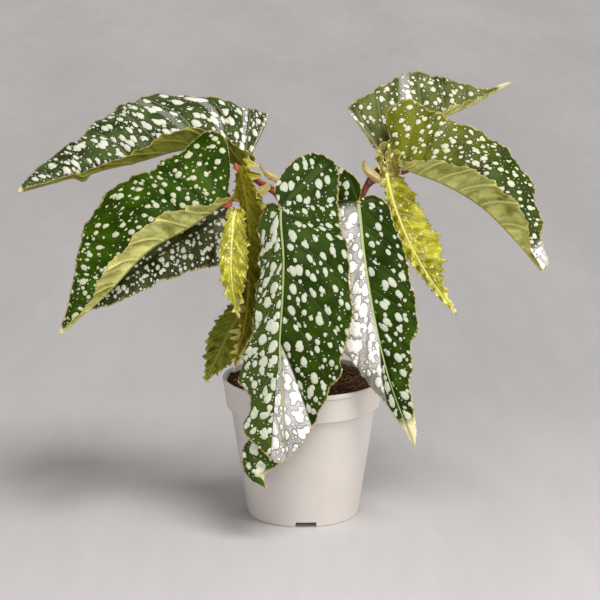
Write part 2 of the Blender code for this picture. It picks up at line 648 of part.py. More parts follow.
def make_cane(name, cane, midribs, collection):
    """A cane, thicker at its joints, joined in one piece with the stalks that leave it."""
    red = new_material("cane_red", (0.20, 0.07, 0.035), 0.4)
    line = even_points(cane["path"], STALK_STEP)
    share = run_along(line) / run_along(line)[-1]
    radii = CANE_RADIUS + (CANE_TIP_RADIUS - CANE_RADIUS) * share
    for joint in cane["joints"]:
        radii = radii * (1 + (CANE_JOINT_SWELL - 1) * np.exp(-((share - joint) / CANE_JOINT_LENGTH) ** 2))
    trunk = tube(name, line, radii, red, collection)
    stalks = bpy.data.collections.new(name + "_stalks")
    bpy.context.scene.collection.children.link(stalks)
    for leaf_name, (leaves_at, *bends) in cane["stalks"].items():
        start = [np.interp(leaves_at, share, line[:, k]) for k in range(3)]
        route = even_points([start, *bends, stalk_end(midribs[leaf_name])], STALK_STEP)
        narrowing = np.linspace(STALK_RADIUS, STALK_END_RADIUS, len(route))
        tube(leaf_name + "_stalk", route, narrowing, red, stalks)
    union = trunk.modifiers.new("Stalks", "BOOLEAN")
    union.operation = "UNION"
    union.operand_type = "COLLECTION"
    union.collection = stalks
    apply_modifiers(trunk)
    for stalk in list(stalks.objects):
        bpy.data.objects.remove(stalk)
    bpy.data.collections.remove(stalks)
    place_origin(trunk, np.array(cane["path"][0]) * MM)
    return trunk


def make_stipule(name, foot, tip, face, half_width, collection):
    """A papery stipule: a pointed sheet, cupped round its middle line."""
    paper = new_material("stipule_paper", (0.50, 0.36, 0.16), 0.6)
    foot = np.array(foot, float)
    length = np.linalg.norm(np.array(tip) - foot)
    forward = unit(np.array(tip) - foot)
    up = unit(np.array(face) - np.dot(face, forward) * forward)
    side = np.cross(forward, up)
    shape = bmesh.new()
    grid = []
    for row in range(STIPULE_ROWS):
        along = row / STIPULE_ROWS
        swell = STIPULE_FOOT + (1 - STIPULE_FOOT) * math.sin(math.pi * along)
        spread = half_width * swell * (1 - along ** 3)
        middle = foot + forward * length * along
        grid.append([shape.verts.new((middle + side * spread * c - up * spread * STIPULE_CUP * c * c) * MM)
                     for c in STIPULE_COLUMNS])
    point = shape.verts.new((foot + forward * length) * MM)
    for low, high in zip(grid[:-1], grid[1:]):
        for i in range(len(STIPULE_COLUMNS) - 1):
            shape.faces.new((low[i], low[i + 1], high[i + 1]))
            shape.faces.new((low[i], high[i + 1], high[i]))
    for i in range(len(STIPULE_COLUMNS) - 1):
        shape.faces.new((grid[-1][i], grid[-1][i + 1], point))
    mesh = bpy.data.meshes.new(name)
    shape.to_mesh(mesh)
    shape.free()
    shaped = add_object(name, mesh, paper, collection)
    solid = shaped.modifiers.new("Thickness", "SOLIDIFY")
    solid.thickness = BLADE * MM
    solid.offset = -1
    place_origin(shaped, foot * MM)
    return shaped


def main():
    """Build every piece of the plant."""
    for old in list(bpy.data.objects):
        bpy.data.objects.remove(old)
    parts = bpy.data.collections.new(COLLECTION)
    cutters = bpy.data.collections.new("cutters")
    bpy.context.scene.collection.children.link(parts)
    bpy.context.scene.collection.children.link(cutters)
    make_pot(parts, cutters)
    make_soil(parts, cutters)
    midribs = {name: make_leaf(name, leaf, parts) for name, leaf in LEAVES.items()}
    for name, cane in CANES.items():
        make_cane(name, cane, midribs, parts)
    for name, (foot, tip, face, half_width) in STIPULES.items():
        make_stipule(name, foot, tip, face, half_width, parts)


main()
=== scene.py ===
"""Looks of the potted angel-wing begonia: spotted, quilted, toothed leaves, red stalks, soil and pot.

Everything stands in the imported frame. Lengths here are millimetres; MM turns them into Blender's metres.
The leaves repeat the source's midribs, folds and curls, so each finer leaf lies where its CAD node is.
"""
import math
import random

import bmesh
import bpy
import numpy as np
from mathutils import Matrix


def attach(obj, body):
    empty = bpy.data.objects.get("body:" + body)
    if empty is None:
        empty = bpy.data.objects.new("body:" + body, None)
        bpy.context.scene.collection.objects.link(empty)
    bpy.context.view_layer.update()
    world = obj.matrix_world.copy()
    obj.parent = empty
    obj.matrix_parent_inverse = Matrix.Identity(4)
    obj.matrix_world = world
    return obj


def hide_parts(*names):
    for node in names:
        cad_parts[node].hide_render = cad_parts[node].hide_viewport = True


MM = 0.001
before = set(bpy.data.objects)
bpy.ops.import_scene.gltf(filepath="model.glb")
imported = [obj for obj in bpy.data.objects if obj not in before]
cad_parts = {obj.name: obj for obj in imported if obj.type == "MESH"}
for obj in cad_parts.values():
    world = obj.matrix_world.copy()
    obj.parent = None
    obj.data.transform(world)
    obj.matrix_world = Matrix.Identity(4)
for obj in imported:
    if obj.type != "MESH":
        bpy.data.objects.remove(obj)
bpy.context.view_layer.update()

# Camera, fitted to the pot's ellipses in the photo
CAMERA_PLACE = (-2.24, -1600.0, 530.0)
CAMERA_DOWN = math.radians(12.92)
CAMERA_LENS = 133.0

# Light: a soft key from the right and front, an even fill and two soft lamps
KEY_STRENGTH = 2.2
KEY_SOFTNESS = math.radians(26)
KEY_FROM = (0.30, -0.42, 0.90)
FILL_STRENGTH = 0.32
FRONT_POWER = 16.5
SIDE_POWER = 25

# Pot, as in the source but rounder
POT_HEIGHT = 104.8
RIM_RADIUS = 60.0
LIP_HEIGHT = 3.2
COLLAR_HEIGHT = 21.3
COLLAR_RADIUS_TOP = 59.2
COLLAR_RADIUS_LOW = 57.2
BODY_RADIUS_TOP = 54.0
BASE_RADIUS = 41.6
WALL = 1.5
FLOOR = 5.6
DRAIN_SLOTS = 4
DRAIN_SLOT_WIDTH = 15.6
DRAIN_SLOT_HEIGHT = 4.0
DRAIN_SLOT_INNER = 20.0
DRAIN_SLOT_TURN = math.radians(3)
DRAIN_HOLE_RADIUS = 3.5
DRAIN_HOLE_PLACE = 27.0
POT_SIDES = 192

# Soil: how much higher it lies at the wall, how deep its shell goes, its grid, loose crumbs and fibres
SOIL_TOP = 96.0
SOIL_BANK = 5.0
SOIL_DEPTH = 9
SOIL_RINGS = 60
SOIL_SIDES = 200
SOIL_CRUMBS = 1500
CRUMB_SIZES = (0.5, 0.7, 0.9, 1.2, 1.7)
SOIL_FIBRES = 230

# Canes and stalks, as in the source
CANE_RADIUS = 3.6
CANE_TIP_RADIUS = 2.2
CANE_JOINT_SWELL = 1.25
CANE_JOINT_LENGTH = 0.025
STALK_RADIUS = 2.1
STALK_END_RADIUS = 1.5
CANE_FOOT = 54.6
TUBE_STEP = 1.6
TUBE_SIDES = 20

# Stipules: a grid of points over each thin sheet
STIPULE_ROWS = 40
STIPULE_COLUMNS = 22
STIPULE_THICK = 0.22

# Blades
RIB = 2.4
RIB_LINE = 1.15                 # half width of the midrib's pale line at the stalk
MARGIN_PITCH = 1.05             # distance between rows of points at the margin
COLUMN_PITCH = 1.9              # distance between points from the midrib to the margin
LINE_SAMPLES = 400
MARGIN_SAMPLES = 900
TANGENT_REACH = 1.5
OUTWARD_REACH = 1.2
CURL_STEPS = 12
FOOT_LAG = 1.25                 # how the feet of the side veins crowd towards the stalk
SPINE_CLEAR = 5.0               # the midrib's distance to rim and side veins, for the materials
HALVES = ("wide", "narrow")
FAN_SHARE = {"wide": 0.30, "narrow": 0.22}      # share of the margin whose veins start at the stalk
UV_UNIT = 100.0                 # millimetres in one unit of the leaves' UV maps
UV_SHIFT = np.array([3.71, 1.93])               # moves each leaf's patterns, times its seed
NARROW_SHIFT = 731.0                            # moves the narrow half's spots against the wide half's

# A slim blade's margin: shares of the lobe's length behind the stalk or of the blade ahead, and of its width
SLIM = [(0.0, 0.0), (-0.6, 0.10), (-1.0, 0.28), (-0.4, 0.46), (0.10, 0.66), (0.28, 0.90),
        (0.45, 1.0), (0.60, 0.90), (0.73, 0.66), (0.84, 0.38), (0.93, 0.14), (1.0, 0.0)]

# How leaves of one kind are ruffled, in millimetres: the bulge between side veins, the margin's wave and
# second wave, teeth (height and spacing), the blade's thickness, crumpling and spikes of the margin, and how
# deep the ribs stand out below; then the number of side veins in the lobe's fan and ahead of it.
GROWN = {"bulge": 1.4, "wave": 1.6, "ripple": 0.8, "tooth": 0.9, "tooth_pitch": 3.2, "blade": 0.5,
         "crumple": 0.12, "spikes": 0.0, "rib_deep": 1.6, "vein_deep": 0.4, "fan": 2, "main": 7,
         "slot": "leaf_green"}
YOUNG = {"bulge": 1.3, "wave": 1.8, "ripple": 1.5, "tooth": 3.0, "tooth_pitch": 4.6, "blade": 0.4,
         "crumple": 2.3, "spikes": 1.7, "rib_deep": 0.7, "vein_deep": 0.25, "fan": 1, "main": 6,
         "slot": "young_leaf_green"}

# Each leaf: its kind, its look, the side of its wide half and a seed. Its stations along the midrib are a
# point, the way that the face looks, and how many degrees the wide and the narrow half are raised.
# Each half has its width and curl in the source and its outline laid flat, as millimetres along the midrib
# and across in turn, or slim with its lobe's length. veins gives (foot on the midrib, point on the margin).
# Each half's sheen list gives stretches of veins whose panels carry a painted reflection, a pale silvery
# sheen: (first vein, last vein, strength, from, to).
# Where a leaf has them: cream and olive are lengths of pale tip and of green at the stalk, grain is the turn
# of the spots in degrees, bulge replaces the kind's, sag is a dent (place, width, depth), drift moves the
# midrib off the fold (from, to, most), blade_end is where the blade ends, ruffle adds a wave, crowd, its
# _tip and its _narrow make spots larger and closer, and mist pales the narrow half: partly its own paler
# green and partly painted sheen.
LEAVES = {
    "leaf_upper_left": {
        "grow": GROWN, "look": "grown_grey", "side": 1, "seed": 1, "cream": 5, "grain": 64, "bulge": 2.3,
        "sag": (124, 4.4, 5.0), "crowd": 0.25,
        "stations": [(-24, 16, 255, 0, 0, 1, 66, 50), (-43, 14, 261, 0, 0, 1, 54, 50),
            (-83, 14, 274, 0, 0, 1, 51, 55), (-120, 8, 266, 0, -0.1, 1, 48, 50),
            (-159, 0, 258, 0, -0.1, 1, 38, 40), (-208, -10, 246, 0, -0.2, 1, 10, 20)],
        "wide": {"width": 58, "curl": 30, "outline": [0, 0, -4, 8, -4, 18, -6, 28, -8, 36, -10, 46, -10, 54,
            -5, 57, 4, 59, 14, 60, 22, 57, 30, 55, 38, 56, 46, 59, 55, 60, 64, 59, 74, 57, 84, 55, 92, 52,
            101, 49, 108, 44, 114, 38, 120, 33, 130, 32, 137, 29, 145, 24, 152, 22, 160, 15, 167, 8, 173, 0],
            "painted_sheen": [(1.2, 1.45, 0.7, -20, 60), (2.1, 2.3, 0.65, 0, 60), (3.15, 3.4, 0.4, 0, 200),
                (4.1, 4.3, 0.3, 0, 200)]},
        "narrow": {"width": 17, "curl": 0, "outline": [0, 0, -4, 5, -5, 10, 0, 14, 10, 17, 25, 19, 40, 20, 52,
            20, 65, 17, 78, 13, 92, 9, 105, 6.5, 120, 5, 140, 4, 160, 3, 173, 0]}},
    "leaf_front_left": {
        "grow": GROWN, "look": "grown_lit", "side": 1, "seed": 2, "cream": 6, "grain": 55, "bulge": 1.7,
        "crowd": 0.1, "crowd_tip": 0.8,
        "stations": [(-34, -22, 254, 0.1, -0.1, 1, 64, 20), (-56, -26, 242, 0, -0.1, 1, 60, 25),
            (-81, -36, 226, -0.2, -0.2, 1, 55, 50), (-109, -48, 212, -0.4, -0.2, 0.9, 50, 60),
            (-142, -60, 180, -0.6, -0.3, 0.7, 45, 50), (-174, -66, 153, -0.6, -0.3, 0.7, 15, 30)],
        "wide": {"width": 61, "curl": 30, "outline": [0, 0, -5, 5, -10, 12, -14, 18, -17, 25, -20, 33, -22,
            40, -21, 46, -18, 51, -13, 54, -6, 55, 1, 52, 8, 51, 16, 53, 28, 53, 38, 55, 46, 60, 54, 62, 62,
            60.5, 70, 57, 78, 54, 88, 48, 98, 42, 108, 36, 118, 30, 128, 22, 136, 17, 143, 10, 150, 5,
             155, 0]},
        "narrow": {"width": 30, "curl": 0, "outline": [0, 0, -5, 6, -6, 13, -2, 20, 6, 25, 15, 28, 25, 28, 33,
            28.5, 42, 27, 53, 25, 64, 22.5, 74, 20.5, 82, 20, 90, 22, 98, 22.5, 105, 21, 112, 16, 120, 9, 130,
            5, 142, 3, 155, 0]}},
    "leaf_back_left": {
        "grow": GROWN, "look": "grown_fine", "side": -1, "seed": 3, "cream": 4, "grain": 60,
        "stations": [(-45, 10, 230, 0, -0.9, 0.5, 5, 5), (-57, 6, 227, 0, -0.9, 0.5, 5, 5),
            (-79, -4, 217, -0.1, -0.9, 0.5, 5, 5), (-104, -14, 202, -0.1, -0.9, 0.5, 5, 5),
            (-130, -24, 185, -0.1, -0.9, 0.5, 5, 5), (-156, -30, 162, -0.1, -0.9, 0.5, 5, 5)],
        "wide": {"width": 30, "curl": 15, "outline": [0, 0, -6, 3, -9, 9, -8, 17, -4, 25, 4, 31, 12, 34, 22,
            33.5, 32, 31, 42, 27.5, 50, 24, 58, 23, 65, 20, 73, 17.5, 82, 17.5, 90, 15.5, 99, 13, 108, 10,
            116, 5.5, 125, 0],
            "painted_sheen": [(0.0, 3.0, 0.15, -20, 42)]},
        "narrow": {"width": 28, "curl": 0, "outline": [0, 0, -5, 5, -8, 12, -4, 20, 10, 26, 30, 28, 50, 26,
            68, 22, 85, 16.5, 100, 10, 112, 4, 125, 0]}},
    "leaf_centre": {
        "grow": GROWN, "look": "grown", "side": -1, "seed": 4, "cream": 0, "blade_end": 184, "grain": 20,
        "drift": (98, 184, 11.0), "bulge": 1.8, "crowd": 0.15, "crowd_tip": 0.95, "crowd_narrow": 1.0,
        "mist": 1.0,
        "stations": [(-11, -26, 268, 0.15, -0.85, 0.5, -8, -45), (-16, -46, 240, 0.1, -1, 0.3, -7, -50),
            (-14, -70, 207, 0.05, -1, 0.2, -6, -48), (-16, -84, 161, 0, -1, 0.1, -4, -32),
            (-20, -88, 111, 0, -1, 0.1, 0, -26), (-25, -84, 43, 0, -1, 0.1, 0, 0)],
        "wide": {"width": 53, "curl": 15, "outline": [0, 0, -6, -3, -13, -6, -20, -5.5, -27, -3, -34, 0, -40,
            4, -45, 9, -49, 14, -51.5, 20, -52, 27, -50, 33, -45, 37, -38, 38.5, -30, 40, -20, 43, -8, 44.5,
            4, 45, 14, 45.5, 24, 47, 34, 47.5, 44, 49, 55, 49.5, 66, 50, 78, 50.5, 90, 50, 98, 48.5, 105, 45,
            109, 43.5, 114, 45, 119, 45.5, 124, 43, 128, 38.5, 134, 37, 139, 35.5, 145, 32.5, 150, 31, 156,
            30.5, 160, 28, 165, 25, 170, 22, 176, 18, 182, 14, 187, 9, 187, 5, 184, 0],
            "veins": [(0, -50, 33), (0, -20, 43), (6, 14, 45.5), (24, 55, 49.5), (48, 98, 48.5),
                (72, 128, 38.5), (98, 160, 28), (150, 184, 11)],
            "painted_sheen": [(7.0, 9.0, 1.0, 96, 200)]},
        "narrow": {"width": 31, "curl": 10, "outline": [0, 0, -5, 5, -7, 11, -7, 16, -3, 20, 4, 22, 12, 24,
            22, 26, 34, 25.5, 48, 25, 62, 25, 78, 24, 94, 24, 104, 26, 113, 28.5, 122, 30.5, 129, 31, 133,
            29.5, 136, 26, 140, 22, 146, 19.5, 152, 18.5, 158, 20.5, 163, 23, 167, 22, 174, 13, 180, 5,
              184, 0]}},
    "leaf_centre_right": {
        "grow": GROWN, "look": "grown", "side": 1, "seed": 5, "cream": 26, "grain": 22, "bulge": 1.8,
        "crowd": 0.15, "crowd_tip": 1.0,
        "stations": [(37, -8, 254, 0, -0.8, 0.6, -20, -14), (40, -20, 240, 0, -1, 0.4, -15, -16),
            (44, -40, 205, 0, -1, 0.2, 0, -15), (50, -52, 168, 0, -1, 0.15, 4, -10),
            (61, -58, 121, 0, -1, 0.15, 0, -10), (81, -56, 66, 0, -1, 0.1, 0, 0)],
        "wide": {"width": 37, "curl": 15, "outline": [0, 0, -4, -2, -9, -4, -16, -3.5, -24, 0.5, -30, 5, -35,
            12, -37, 20, -34, 27, -27, 32, -15, 34.5, 0, 35.5, 20, 37, 45, 37, 65, 35, 85, 31.5, 98, 28, 106,
            26, 110, 23, 116, 21, 120, 19, 124, 18.5, 128, 16, 134, 14, 140, 11, 147, 8, 153, 6.5, 160, 5,
            168, 3, 178, 1.5, 187, 0],
            "veins": [(0, -30, 5), (0, -15, 34.5), (4, 20, 37), (20, 65, 35), (40, 98, 28), (72, 128, 16),
                (104, 150, 7), (140, 168, 3)],
            "painted_sheen": [(2.0, 7.0, 1.0, 0, 128), (2.0, 7.0, 0.4, 116, 172)]},
        "narrow": {"width": 36, "curl": 8, "outline": [0, 0, -3, 3, -5, 8, -6, 13, -4, 18, 2, 22, 9, 24, 19,
            26, 27, 28, 35, 30.5, 48, 32, 60, 31.5, 72, 32, 84, 31.5, 95, 31, 101, 30, 106, 27, 110, 23, 116,
            21, 124, 19.5, 130, 19, 134, 17, 137, 14.5, 145, 12, 153, 10.5, 161, 9, 169, 7, 179, 4, 187, 0]}},
    "leaf_upper_right": {
        "grow": GROWN, "look": "grown_mist", "side": -1, "seed": 6, "cream": 16, "grain": 60, "bulge": 1.8,
        "stations": [(42, 8, 258, -0.2, -0.2, 1, 54, 70), (59, 16, 267, -0.2, -0.2, 1, 51, 65),
            (79, 30, 281, -0.1, -0.2, 1, 46, 45), (106, 48, 293, 0, -0.2, 1, 40, 45),
            (131, 64, 302, 0, -0.2, 1, 26, 40), (158, 80, 315, 0, -0.2, 1, 10, 20)],
        "wide": {"width": 50, "curl": 10, "outline": [0, 0, -1, 6, -1, 12, 1, 18, 3, 24, 4.5, 31, 5, 38, 4,
            43, 8, 45.5, 14, 46, 20, 46, 27, 44.5, 34, 44.5, 42, 44.5, 50, 45, 58, 45.5, 65, 45, 71, 42.5, 77,
            38, 84, 34, 90, 28.5, 95, 22, 100, 17, 105, 9, 111, 4, 118, 2.5, 128, 0],
            "painted_sheen": [(1.2, 1.8, 0.8, -20, 60), (4.05, 4.6, 0.55, 0, 110)]},
        "narrow": {"width": 16, "curl": 0, "outline": [0, 0, -4, 5, -5, 10, 0, 14, 15, 16, 35, 16, 55, 15, 72,
            13, 88, 9, 104, 6, 118, 3, 128, 0]}},
    "leaf_right": {
        "grow": GROWN, "look": "grown_gold", "side": -1, "seed": 7, "cream": 0, "grain": 58, "bulge": 1.8,
        "olive": 56, "crowd": 0.1, "crowd_tip": 0.2,
        "stations": [(59, 4, 269, -0.1, -0.1, 1, 66, 35), (74, 0, 262, 0, -0.1, 1, 66, 35),
            (102, -12, 253, 0.2, -0.1, 1, 60, 50), (131, -24, 237, 0.4, -0.1, 0.9, 53, 55),
            (152, -34, 217, 0.6, -0.2, 0.8, 40, 50), (172, -40, 194, 0.7, -0.2, 0.7, 25, 30)],
        "wide": {"width": 54, "curl": 30, "outline": [0, 0, -3, 2, -9, 6, -15, 11, -21, 17, -28, 24, -31, 31,
            -30, 37, -27, 42, -22, 47, -14, 49, -5, 49, 5, 48.5, 15, 48, 25, 49.5, 34, 52, 42, 53, 50, 54.5,
            57, 52, 64, 50, 71, 47.5, 78, 44.5, 84, 38, 91, 34, 99, 32, 105, 30, 108, 24, 112, 19, 117, 18,
            122, 15, 126, 13, 129, 8, 129.5, 4, 129, 0],
            "painted_sheen": [(2.6, 3.3, 0.5, 15, 60), (7.4, 9.5, 1.0, 112, 160)]},
        "narrow": {"width": 32, "curl": 0, "outline": [0, 0, -5, 5, -6, 11, 0, 16, 8, 19, 16, 21.5, 24, 24,
            33, 25.5, 42, 26.5, 52, 27, 61, 26.5, 68, 26, 76, 28, 84, 29, 90, 28, 96, 24.5, 102, 19, 108, 11,
            114, 5, 121, 3, 129, 0]}},
    "young_leaf_right": {
        "grow": YOUNG, "look": "young_bright", "side": -1, "seed": 8, "cream": 9, "olive": 14,
        "stations": [(60, -2, 265, 0.2, -1, 0.3, 0, -20), (61, -5, 259, 0.2, -1, 0.3, 0, -20),
            (66, -7, 239, 0.2, -1, 0.3, 0, -20), (76, -10, 213, 0.2, -1, 0.3, 0, -20),
            (90, -11, 187, 0.2, -1, 0.3, 0, -20), (114, -12, 154, 0.2, -1, 0.3, 0, 0)],
        "wide": {"width": 21, "curl": 10, "outline": [0, 0, -8, 1, -16, 3, -20, 6, -17, 10, -8, 11, 2, 10, 12,
            13, 26, 17, 38, 18, 50, 19.5, 62, 21, 70, 20, 76, 16, 84, 12.5, 89, 8.5, 96, 5, 103, 2.5, 111,
            1.2, 119, 0]},
        "narrow": {"width": 7, "curl": 0, "outline": [0, 0, -10, 1, -17, 2.5, -12, 5, -2, 4.5, 16, 4, 27, 4.5,
            38, 5.5, 50, 6.5, 61, 7, 68, 6, 76, 5, 84, 4.5, 92, 3.5, 101, 3, 110, 1.5, 119, 0]}},
    "young_leaf_left": {
        "grow": YOUNG, "look": "young_bright", "side": -1, "seed": 9, "cream": 3,
        "stations": [(-47, -14, 238, -0.3, -1, 0.3, 0, 10), (-49, -18, 233, -0.3, -1, 0.3, 0, 10),
            (-51, -28, 218, -0.3, -1, 0.3, 0, 10), (-52, -34, 199, -0.3, -1, 0.3, 0, 10),
            (-51, -36, 180, -0.3, -1, 0.3, 0, 10), (-47, -36, 158, -0.3, -1, 0.3, 0, 0)],
        "wide": {"width": 12, "curl": 10, "slim": 4},
        "narrow": {"width": 8, "curl": 0, "slim": 3}},
    "young_leaf_hanging": {
        "grow": YOUNG, "look": "young_olive", "side": 1, "seed": 10, "cream": 6, "olive": 62, "ruffle": 2.6,
        "stations": [(-46, 4, 267, 0.5, 1, 0.3, 12, 30), (-46, -2, 262, 0.5, 1, 0.3, 8, 24),
            (-41, -18, 238, 0.5, 1, 0.3, 6, 20), (-39, -26, 199, 0.5, 1, 0.3, 10, 30),
            (-42, -28, 154, 0.5, 1, 0.3, 14, 40), (-51, -26, 115, 0.5, 1, 0.3, 0, 0)],
        "wide": {"width": 14, "curl": 10, "outline": [0, 0, -4, 2, -7, 6, -4, 9, 4, 9, 12, 13, 20, 11, 30, 14,
            38, 16, 46, 13, 56, 15, 66, 13, 80, 13, 95, 12, 112, 10, 126, 7, 138, 4, 150, 0]},
        "narrow": {"width": 12, "curl": 0, "outline": [0, 0, -3, 3, -3, 8, 4, 12, 14, 13, 26, 11, 40, 10, 56,
            9, 70, 9, 85, 9, 100, 10, 115, 9, 130, 6, 141, 3, 150, 0]}},
    "leaf_lower_left": {
        "grow": YOUNG, "look": "young_pale", "side": -1, "seed": 11, "cream": 3,
        "stations": [(-38, 2, 172, 0.3, 1, 0.3, 0, 0), (-41, -2, 166, 0.3, 1, 0.3, 0, 0),
            (-48, -7, 152, 0.3, 1, 0.3, 0, 0), (-56, -11, 138, 0.3, 1, 0.3, 0, 0),
            (-64, -15, 122, 0.3, 1, 0.3, 0, 0), (-73, -18, 104, 0.3, 1, 0.3, 0, 0)],
        "wide": {"width": 12, "curl": 10, "slim": 6},
        "narrow": {"width": 14, "curl": 0, "slim": 4}},
}

# The centre leaf's curled end: how far it reaches to the left and the right of the midrib along it
TIP_LEFT = [(162, 12), (166, 19), (171, 17), (175, 19), (180, 22), (185, 22), (192, 21), (199, 18), (203, 13),
            (206, 6), (208, 1)]
TIP_RIGHT = [(162, 6), (184, 8), (188, 7), (191, 4), (194, 0), (197, -3), (201, -4), (205, -2.5), (208, -0.5)]
TIP_BEHIND = 2.6
TIP_ROWS = 50
TIP_COLUMNS = 22
TIP_THICK = 0.45

# Each cane: its path, its joints and where each stalk leaves it, as shares of its length; a stalk's bends
CANES = {
    "cane_left": {
        "path": [(-8, 8, CANE_FOOT), (-8, 8, SOIL_TOP), (-10, 10, 140), (-11, 9, 190), (-15, 6, 234),
                 (-20, 6, 242), (-31, 9, 249), (-41, 13, 255)],
        "joints": [0.42, 0.60, 0.76, 0.92],
        "stalks": {
            "leaf_upper_left": (0.97, (-42, 15, 256)),
            "leaf_front_left": (0.76, (-40, 4, 238), (-53, -10, 240)),
            "leaf_back_left": (0.60, (-36, 12, 214)),
            "leaf_centre": (0.76, (-16, -22, 240)),
            "young_leaf_left": (0.60, (-38, 0, 222), (-48, -8, 228)),
            "young_leaf_hanging": (0.92, (-48, 7, 262)),
            "leaf_lower_left": (0.42, (-30, -4, 170)),
        }},
    "cane_right": {
        "path": [(15, 5, CANE_FOOT), (15, 5, SOIL_TOP), (20, 6, 140), (29, 5, 190), (42, 2, 238),
                 (52, 5, 256), (58, 7, 262)],
        "joints": [0.42, 0.60, 0.78, 0.95],
        "stalks": {
            "leaf_centre_right": (0.78, (42, -6, 238)),
            "leaf_upper_right": (0.97, (60, 10, 263)),
            "leaf_right": (0.92, (67, 4, 260)),
            "young_leaf_right": (0.92, (62, 1, 258)),
        }},
}

# Each stipule: foot, tip, the way its face looks, half width, sideways hook and outward bow in degrees
STIPULES = {
    "stipule_left_upper": ((-16, 0, 252), (-31, 1, 265), (0.3, -1, 0.2), 3.4, 38, 25),
    "stipule_left_lower": ((-25, 1, 250), (-35, -9, 237), (-0.2, -1, 0.3), 4.4, -55, 30),
    "stipule_right_upper": ((56, -4, 252), (45, -8, 270), (-0.3, -1, 0.2), 4.6, 62, 35),
    "stipule_right_lower": ((36, 10, 226), (31, 16, 244), (-0.4, 1, 0.2), 4.5, -40, 30),
}


def srgb(*steps):
    """A colour in sRGB steps of 0 to 255 as linear numbers."""
    values = [step / 255 for step in steps]
    return tuple(v / 12.92 if v <= 0.04045 else ((v + 0.055) / 1.055) ** 2.4 for v in values)


def dimmed(colour, share):
    """A colour times a share."""
    return tuple(share * v for v in colour)


def unit(vectors):
    """Vectors of length one, along the last axis."""
    vectors = np.asarray(vectors, float)
    return vectors / np.maximum(np.linalg.norm(vectors, axis=-1, keepdims=True), 1e-9)


def run_along(points):
    """How far along a chain of points each one lies."""
    return np.concatenate([[0.0], np.cumsum(np.linalg.norm(np.diff(points, axis=0), axis=1))])


def read_line(at, run, line):
    """The points of a line at distances along its run."""
    return np.stack([np.interp(at, run, line[:, k]) for k in range(line.shape[1])], -1)


def smooth_through(knots, values, at):
    """A smooth curve through values at knots, read at the places in `at`."""
    slope = np.gradient(values, knots, axis=0)
    at = np.clip(at, knots[0], knots[-1])
    i = np.clip(np.searchsorted(knots, at, side="right") - 1, 0, len(knots) - 2)
    step = (knots[i + 1] - knots[i])[:, None]
    t = (at - knots[i])[:, None] / step
    start = (2 * t**3 - 3 * t**2 + 1) * values[i] + (t**3 - 2 * t**2 + t) * slope[i] * step
    end = (3 * t**2 - 2 * t**3) * values[i + 1] + (t**3 - t**2) * slope[i + 1] * step
    return start + end


def fine_line(points, count):
    """Many points on a smooth curve through a few, and how far along it each one lies."""
    points = np.array(points, float)
    chord = run_along(points)
    line = smooth_through(chord, points, np.linspace(0, chord[-1], count))
    return line, run_along(line)


def sample_curve(points, step):
    """Points at even steps on a smooth curve through a few."""
    line, run = fine_line(points, LINE_SAMPLES)
    count = max(4, int(run[-1] / step) + 1)
    return read_line(np.linspace(0, run[-1], count), run, line)


def smoothstep(value, low, high):
    """A smooth step from 0 at low to 1 at high."""
    t = np.clip((value - low) / (high - low), 0, 1)
    return t * t * (3 - 2 * t)


class Midrib:
    """A leaf's midrib: a smooth line through its stations, with the faces and folds along it."""

    def __init__(self, stations):
        stations = np.array(stations, float)
        self.line, run = fine_line(stations[:, :3], LINE_SAMPLES)
        chord = run_along(stations[:, :3])
        knots = np.interp(chord, np.linspace(0, chord[-1], LINE_SAMPLES), run)
        self.run = run - knots[1]               # the stalk joins at the second station
        self.knots = knots - knots[1]
        self.length = self.run[-1]
        self.faces = unit(stations[:, 3:6])
        self.folds = stations[:, 6:]

    def point(self, along):
        """The point at a distance along the midrib."""
        return read_line(along, self.run, self.line)

    def frame(self, along):
        """Point, forward direction, upward direction and the two fold angles at distances along."""
        inside = np.clip(along, self.run[0] + TANGENT_REACH, self.run[-1] - TANGENT_REACH)
        forward = unit(self.point(inside + TANGENT_REACH) - self.point(inside - TANGENT_REACH))
        behind = np.minimum(along - self.run[0], 0.0)
        point = self.point(along) + behind[..., None] * forward
        flat = along.ravel()
        up = smooth_through(self.knots, self.faces, flat).reshape(along.shape + (3,))
        up = unit(up - (up * forward).sum(-1, keepdims=True) * forward)
        folds = smooth_through(self.knots, self.folds, flat).reshape(along.shape + (2,))
        return point, forward, up, np.radians(folds)


def embed(leaf, midrib, name, along, across):
    """Where flat points of one half lie in space, and the way that their upper face looks."""
    half = leaf[name]
    point, forward, up, folds = midrib.frame(along)
    toward = np.cross(forward, up) * leaf["side"] * (1 if name == "wide" else -1)
    raised = folds[..., HALVES.index(name)]
    curl = math.radians(half["curl"]) / half["width"]
    flat_reach = np.zeros_like(across)
    rise = np.zeros_like(across)
    for i in range(CURL_STEPS):
        angle = raised - curl * across * (i + 0.5) / CURL_STEPS
        flat_reach += np.cos(angle) * across / CURL_STEPS
        rise += np.sin(angle) * across / CURL_STEPS
    angle = (raised - curl * across)[..., None]
    normal = up * np.cos(angle) - toward * np.sin(angle)
    return point + toward * flat_reach[..., None] + up * rise[..., None], normal


